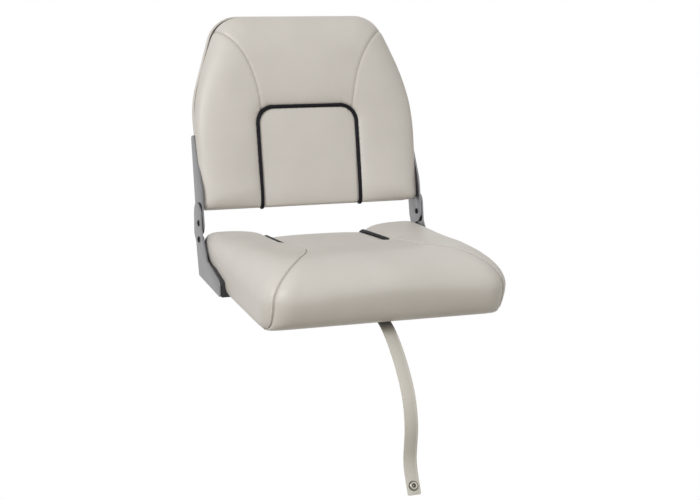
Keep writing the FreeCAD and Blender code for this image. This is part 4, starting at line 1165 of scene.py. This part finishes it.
@dataclass
class SeatCushion(Cushion):
    """The seat's cushion, with its side walls cut back over the base's hinge pads."""

    room: Pairs = field(default_factory=lambda: [
        (17.6, -60.0), (17.6, 27.6), (76.0, 36.6), (260.0, 36.6), (260.0, -60.0)])
    pad_inner: float = 177.0
    pad_outer: float = 240.0

    def trim(self, piece: Piece, panel_word: str) -> None:
        """Cut the hinge pads' room out of a side panel.

        Args:
            piece: The panel.
            panel_word: Which panel it is; only the two sides are cut.
        """
        side = SIDES.get(panel_word)
        if side:
            cut(piece, prism("pad_room", self.room, (side * self.pad_inner, side * self.pad_outer)))


def back_matrix() -> Matrix:
    """Give the move from the back's plan frame to the seat's frame, in millimetres.

    Returns:
        Matrix that takes across, down the back and out of its face to X, Y and Z.
    """
    sine, cosine = math.sin(RECLINE), math.cos(RECLINE)
    return Matrix((
        (1.0, 0.0, 0.0, 0.0),
        (0.0, -sine, -cosine, PIVOT[0]),
        (0.0, -cosine, sine, PIVOT[1]),
        (0.0, 0.0, 0.0, 1.0),
    ))


def seat_cushion() -> SeatCushion:
    """Give the seat's cushion with its sizes."""
    return SeatCushion(
        word="seat", far_word="front", body=Body.SEAT,
        nose_corners=[(204.5, 194.0, 16.0), (206.0, 60.0, 300.0), (203.5, -257.5, 46.0)],
        foot_corners=[(199.0, 186.0, 14.0), (194.0, -214.0, 14.0)],
        seam=[(88.0, 12.0), (82.0, -95.0), (110.0, -188.0), (189.5, -244.5)], seam_foot=(194.4, -200.0),
        rolls=[(0.0, 36.0, 40.0), (0.19, 34.0, 42.0), (0.25, 22.0, 60.0), (0.33, 26.0, 60.0),
               (0.5, 48.0, 54.0), (0.62, 60.0, 51.0), (0.7, 80.0, 50.0), (0.76, 96.0, 53.0),
               (1.0, 88.0, 62.0)],
        panel_half=93.0, panel_closed=8.0, crest_open=(160.0, 82.0), crest_far=(-170.0, 109.0),
        drop=14.0, drop_reach=58.0, drop_stretch=(1.3, 2.6), crown=2.5,
        foot_height=2.6, hem=5.5, tuck=(0.48, 9.0), frame_matrix=Matrix.Identity(4),
        core_inset=18.0, core_floor=20.8, closed_sink=3.0,
    )


def back_cushion() -> Cushion:
    """Give the back's cushion with its sizes."""
    return Cushion(
        word="back", far_word="top", body=Body.BACK,
        nose_corners=[(204.4, -24.0, 10.0), (208.0, -219.0, 400.0), (150.0, -371.6, 60.0)],
        foot_corners=[(197.0, -26.0, 10.0), (202.4, -219.0, 200.0), (150.4, -371.0, 58.0)],
        seam=[(86.0, -207.0), (95.0, -262.0), (114.0, -325.0), (166.0, -351.0)], seam_foot=(166.0, -350.0),
        rolls=[(0.0, 46.0, 2.0), (0.2, 46.0, 2.0), (0.3, 46.0, 4.0), (0.55, 48.0, 2.0),
               (0.7, 58.0, -12.0), (0.8, 80.0, -20.0), (1.0, 88.0, -21.0)],
        panel_half=94.0, panel_closed=-204.0, crest_open=(-23.0, 19.5), crest_far=(-376.0, 19.5),
        drop=11.0, drop_reach=56.0, drop_stretch=(1.0, 1.0), crown=2.0,
        foot_height=-25.6, hem=4.0, tuck=(0.55, 12.0), frame_matrix=back_matrix(),
        # Full-strength painted shadow along the back's rim
        rim_painted_shadow=(1.0, 1.4), piping_wall_rows=5,
    )


# Back shell

@dataclass
class BackShell:
    """The stiff rear shell, wrapped in vinyl, with a rolled rim and a welt round it whose dark grey is a
    painted shadow.
    """

    corners: Corners = field(default_factory=lambda: [
        (200.0, -23.0, 10.0), (206.4, -219.0, 200.0), (156.0, -376.0, 58.0)])
    corner_steps: int = 16
    front: float = -26.0
    rear: float = -36.0
    rim: float = 2.4
    welt_corners: Corners = field(default_factory=lambda: [
        (197.6, -25.4, 10.0), (203.4, -219.0, 200.0), (152.6, -372.9, 58.0)])
    welt_steps: int = 24
    welt_radius: float = 0.9
    welt_height: float = -25.2

    def ring(self, corners: Corners, steps: int, height: float) -> np.ndarray:
        """Give the points all round an outline.

        Args:
            corners: Corners of its right half.
            steps: Points on each round corner.
            height: Its height in the back's plan frame.

        Returns:
            Points in the back's plan frame.
        """
        right = rounded(corners, steps)[1:-1]
        ring = np.concatenate([right, right[::-1] * (-1.0, 1.0)])
        return np.column_stack([ring, np.full(len(ring), height)])

    def build(self) -> None:
        """Build the shell and its rim welt, and file them."""
        outline = self.ring(self.corners, self.corner_steps, self.rear)
        shell = extruded("back_shell_covered", outline, (0.0, 0.0, self.front - self.rear))
        ease(shell, self.rim, 5, 60.0)
        move = back_matrix()
        move.translation *= MM
        bake_place(shell, move)
        file_piece(finished(shell, 40.0, SHELL), Body.BACK, "shell_vinyl", "back_shell")
        line = moved(back_matrix(), self.ring(self.welt_corners, self.welt_steps, self.welt_height)) * MM
        welt = swept("back_rim_welt", line, radius=self.welt_radius)
        # The welt's dark grey is a painted shadow along the rim
        file_piece(finished(welt, 60.0, RIM_SHADOW_WELT), Body.BACK, "shell_vinyl")


# Hinges, base and fasteners

@dataclass
class Hinge:
    """Both hinges: plates with broken edges, domed rivets and washers."""

    plate_edge: float = 0.5
    washer_edge: float = 0.15
    bracket_outer: float = 213.0
    bracket_inner: float = 210.0
    arm_inner: float = 205.9
    play: float = 0.1
    pin: float = 3.0
    head: float = 5.9
    head_rise: float = 2.6
    stop_drop: float = 30.0
    stop_collar: float = 4.0
    # A collar is this much wider than asked, so that no step of the profile is empty
    collar_step: float = 0.001
    # Shares of the head's radius and rise at each corner of its dome and dimple
    dome: Pairs = field(default_factory=lambda: [
        (0.93, 0.5), (0.75, 0.82), (0.5, 0.98), (0.34, 1.0), (0.28, 0.72)])

    def rivet(self, name: str, collar: float) -> Piece:
        """Turn one rivet along +Z, with a domed head that has a dimple, and a peened tail.

        Args:
            name: Name of the piece.
            collar: Radius of the pin between the plates, in millimetres.

        Returns:
            The rivet.
        """
        seat = self.arm_inner - self.play
        outer, inner, rise, pin = self.bracket_outer, self.bracket_inner, self.head_rise, self.pin
        collar += self.collar_step
        tail = [(1.6, seat - rise), (3.8, seat - rise + 0.2), (4.8, seat - rise + 0.8), (5.0, seat - 0.5),
                (5.0, seat)]
        shank = [(collar, seat), (collar, inner), (pin, inner), (pin, outer)]
        rim = [(self.head - 0.15, outer), (self.head, outer + 0.35)]
        dome = [(self.head * across, outer + rise * up) for across, up in self.dome]
        return turned(name, tail + shank + rim + dome + [(0.2, outer + rise * 0.62)])

    def across(self, side: int, below: float) -> Matrix:
        """Give the move that lays a turned piece along the hinge line on one side."""
        spot = Vector((0.0, PIVOT[0] * MM, (PIVOT[1] - below) * MM))
        return Matrix.Translation(spot) @ Matrix.Rotation(side * math.pi / 2, 4, "Y")

    def build(self) -> None:
        """Build the plates, pins and washers of both hinges, and file them."""
        for word in SIDES:
            for kind, body in (("bracket", Body.SEAT), ("arm", Body.BACK)):
                node = "hinge_%s_%s" % (kind, word)
                plate = node_copy(node, node + "_plate", HINGE, self.plate_edge, 3)
                file_piece(plate, body, "hinge_aluminium", node)
        for node, below, collar in (("pivot_rivets", 0.0, self.pin),
                                    ("stop_pins", self.stop_drop, self.stop_collar)):
            pattern = self.rivet(node + "_pattern", collar)
            pins = copies(node + "_domed", pattern, [self.across(side, below) for side in SIDES.values()])
            file_piece(finished(pins, 50.0, RIVET), Body.SEAT, "rivet_steel", node)
        washers = node_copy("pivot_washers", "pivot_washers_eased", NYLON, self.washer_edge)
        file_piece(washers, Body.SEAT, "washer_plastic", "pivot_washers")


@dataclass
class Fasteners:
    """Hex-head screws under the base and behind the back, the strap's washer and the mount's inserts."""

    head: float = 4.7
    head_rise: float = 2.4
    flange: float = 6.0
    shank: float = 2.4
    root: float = 1.92
    thread_pitch: float = 1.6
    base_length: float = 13.6
    arm_length: float = 8.6
    washer_edge: float = 0.2
    insert_edge: float = 0.25
    # Screws of one CAD node stand further apart than this
    spread: float = 14.0

    def screw(self, name: str, length: float) -> Piece:
        """Model one screw on +Z: a hex head with a recess below its seat, and a threaded shank.

        Args:
            name: Name of the piece.
            length: Length of the shank in millimetres.

        Returns:
            The screw.
        """
        wide, rise, flange = self.head, self.head_rise, self.flange
        head = [(wide * 0.55, -1.6), (wide * 0.6, -rise), (wide * 0.92, -rise), (wide, 0.4 - rise),
                (wide, -0.7)]
        collar = [(flange - 0.3, -0.75), (flange, -0.4), (flange, -0.02)]
        turns = int(length / self.thread_pitch)
        pitch = length / turns
        thread = [corner for low in np.arange(turns) * pitch
                  for corner in ((self.root, low), (self.shank, low + pitch * 0.5))]
        shank = [(self.root, -0.02)] + thread[1:] + [(0.3, length)]
        parts = [turned(name, profile, segments)
                 for profile, segments in ((head, 6), (collar, 28), (shank, 16))]
        deselect()
        for part in parts:
            part.select_set(True)
        bpy.context.view_layer.objects.active = parts[0]
        bpy.ops.object.join()
        return parts[0]

    def places(self, node: str, body: Body) -> list[Matrix]:
        """Find each screw of a CAD node and give the moves to their seats.

        Args:
            node: CAD node with the screws as separate solids.
            body: Half of the seat that holds them.

        Returns:
            One move for each screw, from the underside of its head.
        """
        groups = []
        for spot in vertices_of(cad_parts[node]):
            for group in groups:
                if np.linalg.norm(np.mean(group, axis=0) - spot) < self.spread * MM:
                    group.append(spot)
                    break
            else:
                groups.append([spot])
        lean = math.pi / 2 - RECLINE if body is Body.BACK else 0.0
        turn = Matrix.Rotation(lean, 4, "X")
        axis = np.array(turn.to_3x3() @ Vector((0.0, 0.0, 1.0)))
        moves = []
        for cloud in map(np.array, groups):
            middle = (cloud.max(axis=0) + cloud.min(axis=0)) / 2
            foot = middle + axis * ((cloud @ axis).min() + self.head_rise * MM - middle @ axis)
            moves.append(Matrix.Translation(Vector(foot)) @ turn)
        return moves

    def build(self) -> None:
        """Set the screws in their nodes' places and file them with the washer and the inserts."""
        for node, body, length in (("base_screws", Body.SEAT, self.base_length),
                                   ("arm_screws", Body.BACK, self.arm_length)):
            screws = copies(node + "_hex", self.screw(node + "_pattern", length), self.places(node, body))
            file_piece(finished(screws, 35.0, SCREW), body, "screw_steel", node)
        for node, finish, edge, slot in (("strap_washer", SCREW, self.washer_edge, "screw_steel"),
                                         ("mount_inserts", BRASS, self.insert_edge, "insert_brass")):
            file_piece(node_copy(node, node + "_eased", finish, edge), Body.SEAT, slot, node)


@dataclass
class SeatBase:
    """The ribbed moulded base, with its edges eased."""

    edge: float = 0.8
    half: float = 240.0
    slope: Pairs = field(default_factory=lambda: [(10.0, 25.6), (10.0, 60.0), (78.0, 60.0), (78.0, 36.2)])

    def build(self) -> None:
        """Slope the hinge pads' front tops like the brackets, ease the edges and file the base."""
        base = node_copy("seat_base", "seat_base_moulding", BASE)
        cut(base, prism("pad_slope", self.slope, (-self.half, self.half)))
        ease(base, self.edge, 2)
        file_piece(finished(base, 30.0, BASE), Body.SEAT, "base_moulding", "seat_base")


# Strap and press stud

@dataclass
class Strap:
    """The hold-down strap with its stitched edges and the press stud on its end."""

    across: float = 8.0
    width: float = 22.0
    gauge: float = 2.4
    end_round: float = 1.6
    line_steps: int = 14
    stitch_inset: float = 2.6
    stitch_pitch: float = 4.2
    stitch_start: float = 6.0
    stitch_sunk: float = 0.15
    stitch_size: tuple[float, float, float] = (0.7, 0.7, 3.276)
    snap_from_end: float = 14.0
    snap_radius: float = 7.6
    snap_lift: float = 0.25
    stud_foot: float = 4.0
    stud_pin: float = 2.0
    snap_sides: int = 48
    route: Pairs = field(default_factory=lambda: [
        (-142.0, -1.5), (-172.0, -1.5), (-201.0, -8.0), (-228.0, -22.0), (-254.0, -40.0),
        (-277.0, -60.0), (-297.0, -82.0), (-311.0, -108.0), (-318.0, -138.0), (-315.0, -168.0),
        (-312.5, -187.0), (-316.0, -205.0), (-325.5, -223.5), (-335.5, -241.0)])

    def line(self) -> np.ndarray:
        """Read the smooth middle line from a spline along the route's points.

        Returns:
            Points in metres.
        """
        route = np.array([(self.across, along, up) for along, up in self.route]) * MM
        holder = swept("strap_line", route, self.line_steps)
        spots = vertices_of(holder)
        bpy.data.objects.remove(holder)
        return spots

    def section(self, half: float) -> Pairs:
        """Draw the strap's section: two skins with a rounded edge and a groove at each stitch row.

        Args:
            half: Half of the strap's width here, in millimetres.

        Returns:
            Points (across, up) all round.
        """
        thick = self.gauge / 2
        groove = half - self.stitch_inset
        right = [(half - 0.9, -thick), (half - 0.25, -thick * 0.75), (half, 0.0), (half - 0.25, thick * 0.75),
                 (half - 0.9, thick), (groove + 0.7, thick), (groove, thick - 0.3), (groove - 0.7, thick)]
        right = [(max(across, 0.3), up) for across, up in right]
        under = [(across, -up) for across, up in right[-3:]]
        upper = right + [(-across, up) for across, up in reversed(right)]
        return upper + [(-across, up) for across, up in under] + list(reversed(under))

    def frames(self, line: np.ndarray) -> list[Matrix]:
        """Give a frame at each point of the line: across, along its normal and along its heading.

        Args:
            line: Points of the middle line.

        Returns:
            One move for each point.
        """
        side = Vector((1.0, 0.0, 0.0))
        headings = [Vector(way).normalized() for way in np.gradient(line, axis=0)]
        return [stand(Vector(spot), side, ahead.cross(side).normalized(), ahead)
                for spot, ahead in zip(line, headings)]

    def band(self, line: np.ndarray) -> Piece:
        """Sweep the strap's section along the line, with a round free end.

        Args:
            line: Points of the middle line.

        Returns:
            The strap as a closed mesh.
        """
        left = runs(line[::-1])[::-1] / MM
        vertices, faces = [], []
        for move, rest in zip(self.frames(line), left):
            half = self.width / 2
            if rest < self.end_round:
                half += math.sqrt(self.end_round ** 2 - (self.end_round - rest) ** 2) - self.end_round
            section = self.section(half)
            vertices += [move @ Vector((across * MM, up * MM, 0.0)) for across, up in section]
        count = len(section)
        for low in range(0, (len(line) - 1) * count, count):
            for side in range(count):
                after = (side + 1) % count
                faces.append((low + side, low + after, low + count + after, low + count + side))
        faces += [range(count), range(len(vertices) - count, len(vertices))]
        mesh = bpy.data.meshes.new("strap_sewn")
        mesh.from_pydata(vertices, [], [tuple(face) for face in faces])
        piece = added("strap_sewn", mesh)
        activate(piece)
        face_out()
        return finished(piece, 50.0, STRAP)

    def thread(self, line: np.ndarray) -> Piece:
        """Sew a row of thread along each edge on the strap's face and back.

        Args:
            line: Points of the middle line.

        Returns:
            All the stitches in one mesh.
        """
        run = runs(line) / MM
        moves = self.frames(line)
        inset = (self.width / 2 - self.stitch_inset) * MM
        lift = (self.gauge / 2 - self.stitch_sunk) * MM
        places = [moves[int(np.searchsorted(run, at))] @ Matrix.Translation((side * inset, face * lift, 0.0))
                  for at in np.arange(self.stitch_start, run[-1] - self.end_round, self.stitch_pitch)
                  for side in SIDES.values() for face in (-1, 1)]
        return stitching("strap_stitching", self.stitch_size, places)

    def press(self, name: str, profile: Pairs, move: Matrix, body: Body, node: str) -> Piece:
        """Turn one half of a press stud, paint shade into the socket's grooves, set it in its place and file
        it.

        Args:
            name: Name of the piece.
            profile: Radius and height of each corner, in millimetres.
            move: Its place.
            body: Half of the seat that it moves with.
            node: CAD node that it replaces.

        Returns:
            The piece.
        """
        piece = turned(name, profile, self.snap_sides)
        if node == "snap_socket":
            self.painted_shade(piece)
        bake_place(piece, move)
        return file_piece(finished(piece, 40.0, NICKEL), body, "snap_nickel", node)

    def painted_shade(self, socket: Piece) -> None:
        """Paint shade into the socket's recess and onto its flange's edge and, lighter, onto the flange.

        Args:
            socket: The socket, still on the Z axis.
        """
        spots = vertices_of(socket) / MM
        out = np.hypot(spots[:, 0], spots[:, 1]) / self.snap_radius
        recess_top = self.gauge / 2 + self.snap_lift + 1.1
        recess = (out < 0.44) & (out > 0.14) & (spots[:, 2] < recess_top)
        flange = (out > 0.77) & (out < 0.9)
        # Painted shade: 0.9 in the recess and on the flange's edge, 0.4 on the flange
        mark(socket, "painted_shade", np.where(recess | (out > 0.93), 0.9, np.where(flange, 0.4, 0.0)))

    def snap(self) -> list[Piece]:
        """Turn the press stud's socket and cap on the strap's end.

        Returns:
            Socket and cap.
        """
        (y0, z0), (y1, z1) = self.route[-2:]
        heading = Vector((0.0, y1 - y0, z1 - z0)).normalized()
        middle = (Vector((self.across, y1, z1)) - heading * self.snap_from_end) * MM
        move = Matrix.Translation(middle) @ Matrix.Rotation(math.atan2(z0 - z1, y0 - y1), 4, "X")
        rim = self.snap_radius
        low = self.gauge / 2 + self.snap_lift
        socket = [
            (rim - 0.3, low), (rim, low + 0.3), (rim, low + 0.8), (rim - 0.35, low + 1.15),
            (rim * 0.8, low + 1.2), (rim * 0.76, low + 2.6), (rim * 0.68, low + 3.0), (rim * 0.5, low + 3.0),
            (rim * 0.43, low + 2.7), (rim * 0.42, low + 1.0), (rim * 0.16, low + 0.9),
            (rim * 0.12, low + 1.3), (0.2, low + 1.4)]
        cap = [
            (0.3, -low - 2.2), (rim * 0.4, -low - 2.1), (rim * 0.7, -low - 1.7), (rim * 0.9, -low - 1.0),
            (rim, -low - 0.35), (rim, -low), (self.stud_pin, -low), (self.stud_pin, low + 0.7),
            (0.3, low + 0.75)]
        return [self.press("snap_socket_ring", socket, move, Body.SEAT, "snap_socket"),
                self.press("snap_cap_dome", cap, move, Body.SEAT, "snap_cap")]

    def stud(self) -> None:
        """Turn the stud behind the back that the strap closes on, and file it."""
        turn = Matrix.Rotation(-math.pi / 2 - RECLINE, 4, "X")
        spots = moved(turn.inverted(), vertices_of(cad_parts["snap_stud"]))
        across, along, _ = (spots.min(axis=0) + spots.max(axis=0)) / 2
        foot = spots[:, 2].min() + self.stud_foot * MM
        rim, pin = self.snap_radius, self.stud_pin
        profile = [
            (pin, -self.stud_foot), (pin, 0.0), (rim, 0.0), (rim, 0.4), (rim * 0.94, 0.8), (rim * 0.5, 0.95),
            (rim * 0.34, 1.2), (rim * 0.34, 2.2), (rim * 0.4, 2.9), (rim * 0.4, 3.6), (rim * 0.3, 4.1),
            (0.3, 4.2)]
        move = turn @ Matrix.Translation((across, along, foot))
        self.press("snap_stud_turned", profile, move, Body.BACK, "snap_stud")

    def build(self) -> None:
        line = self.line()
        band = file_piece(self.band(line), Body.SEAT, "strap_vinyl", "strap")
        thread = file_piece(self.thread(line), Body.SEAT, "strap_vinyl")
        with_pieces = self.snap() + [thread]
        self.stud()


# Studio

@dataclass
class Studio:
    """White floor, soft lamps and the camera at the photograph's viewing angle."""

    azimuth: float = 0.32017
    elevation: float = 0.21653
    roll: float = 0.00662
    focal_px: float = 1304.15
    image_px: float = 700.0
    sensor: float = 36.0
    clip_end: float = 200.0
    eye: tuple[float, float, float] = (-0.67759, -2.08065, 0.55485)
    floor_level: float = -0.62
    floor_size: float = 60.0
    floor_tone: str = "#A39E92"
    floor_rough: float = 0.9
    world: float = 0.5
    world_tone: str = "#FFFBF5"
    aim: tuple[float, float, float] = (0.0, 0.0, 0.15)
    # Name, place and side in metres, and power in watts of each lamp
    lamps: tuple[tuple[str, tuple[float, float, float], float, float], ...] = (
        ("key", (-2.5, -1.8, 1.9), 1.4, 66.0), ("fill", (2.4, -2.3, 1.5), 2.0, 11.0))

    def camera(self) -> None:
        """Set the camera."""
        data = bpy.data.cameras.new("camera")
        data.sensor_width = self.sensor
        data.lens = self.focal_px / self.image_px * self.sensor
        data.clip_end = self.clip_end
        eye = added("camera", data)
        sine, cosine = math.sin(self.azimuth), math.cos(self.azimuth)
        level = math.cos(self.elevation)
        back = Vector((-sine * level, -cosine * level, math.sin(self.elevation)))
        right = Vector((cosine, -sine, 0.0))
        up = back.cross(right)
        tilt, straight = math.sin(self.roll), math.cos(self.roll)
        eye.matrix_world = stand(Vector(self.eye), right * straight + up * tilt,
                                 up * straight - right * tilt, back)
        bpy.context.scene.camera = eye

    def light(self) -> None:
        """Hang the square soft lamps, which face the seat."""
        for name, spot, size, power in self.lamps:
            data = bpy.data.lights.new(name, "AREA")
            data.size = size
            data.energy = power
            aim = (Vector(self.aim) - Vector(spot)).to_track_quat("-Z", "Y")
            added(name, data).matrix_world = Matrix.Translation(Vector(spot)) @ aim.to_matrix().to_4x4()

    def seen(self, tree: Tree) -> Socket:
        """Give a factor that is 1 for the rays that show the background, seen or mirrored.

        Args:
            tree: Node tree of the floor's material or the world.

        Returns:
            The factor.
        """
        rays = add_node(tree, "ShaderNodeLightPath").outputs
        factor = rays["Is Camera Ray"]
        for kind in ("Is Glossy Ray", "Is Transmission Ray"):
            factor = add_node(tree, "ShaderNodeMath", None, {0: factor, 1: rays[kind]},
                              operation="MAXIMUM").outputs[0]
        return factor

    def floor(self) -> None:
        """Lay the floor, white to the camera."""
        deselect()
        bpy.ops.mesh.primitive_plane_add(size=self.floor_size, location=(0.0, 0.0, self.floor_level))
        floor = bpy.context.object
        floor.name = "floor"
        paper = bpy.data.materials.new("floor_white_paper")
        paper.use_nodes = True
        tree = paper.node_tree
        shader = tree.nodes["Principled BSDF"]
        shader.inputs["Base Color"].default_value = linear(self.floor_tone)
        shader.inputs["Roughness"].default_value = self.floor_rough
        glow = add_node(tree, "ShaderNodeEmission", {"Strength": 1.0})
        mix = add_node(tree, "ShaderNodeMixShader", None,
                       {0: self.seen(tree), 1: shader.outputs[0], 2: glow.outputs[0]})
        tree.links.new(mix.outputs[0], tree.nodes["Material Output"].inputs["Surface"])
        floor.data.materials.append(paper)

    def sky(self) -> None:
        """Set the world, white to the camera and dimmer as a light."""
        world = bpy.data.worlds.new("studio")
        world.use_nodes = True
        tree = world.node_tree
        seen = self.seen(tree)
        level = add_node(tree, "ShaderNodeMix", {2: self.world, 3: 1.0}, {0: seen})
        tone = add_node(tree, "ShaderNodeMix", {6: linear(self.world_tone), 7: linear("#FFFFFF")}, {0: seen},
                        data_type="RGBA")
        inputs = tree.nodes["Background"].inputs
        tree.links.new(level.outputs[0], inputs["Strength"])
        tree.links.new(tone.outputs[2], inputs["Color"])
        bpy.context.scene.world = world

    def build(self) -> None:
        """Set up the whole studio."""
        bpy.context.scene.view_settings.view_transform = "Standard"
        self.camera()
        self.floor()
        self.sky()
        self.light()


def main() -> None:
    """Build the studio and every sub-assembly in order."""
    logging.basicConfig(level=logging.INFO, format="%(name)s: %(message)s")
    for assembly in (Studio(), Strap(), seat_cushion(), back_cushion(), BackShell(), Hinge(), Fasteners(),
                     SeatBase()):
        assembly.build()
    deselect()


if __name__ == "__main__":
    main()
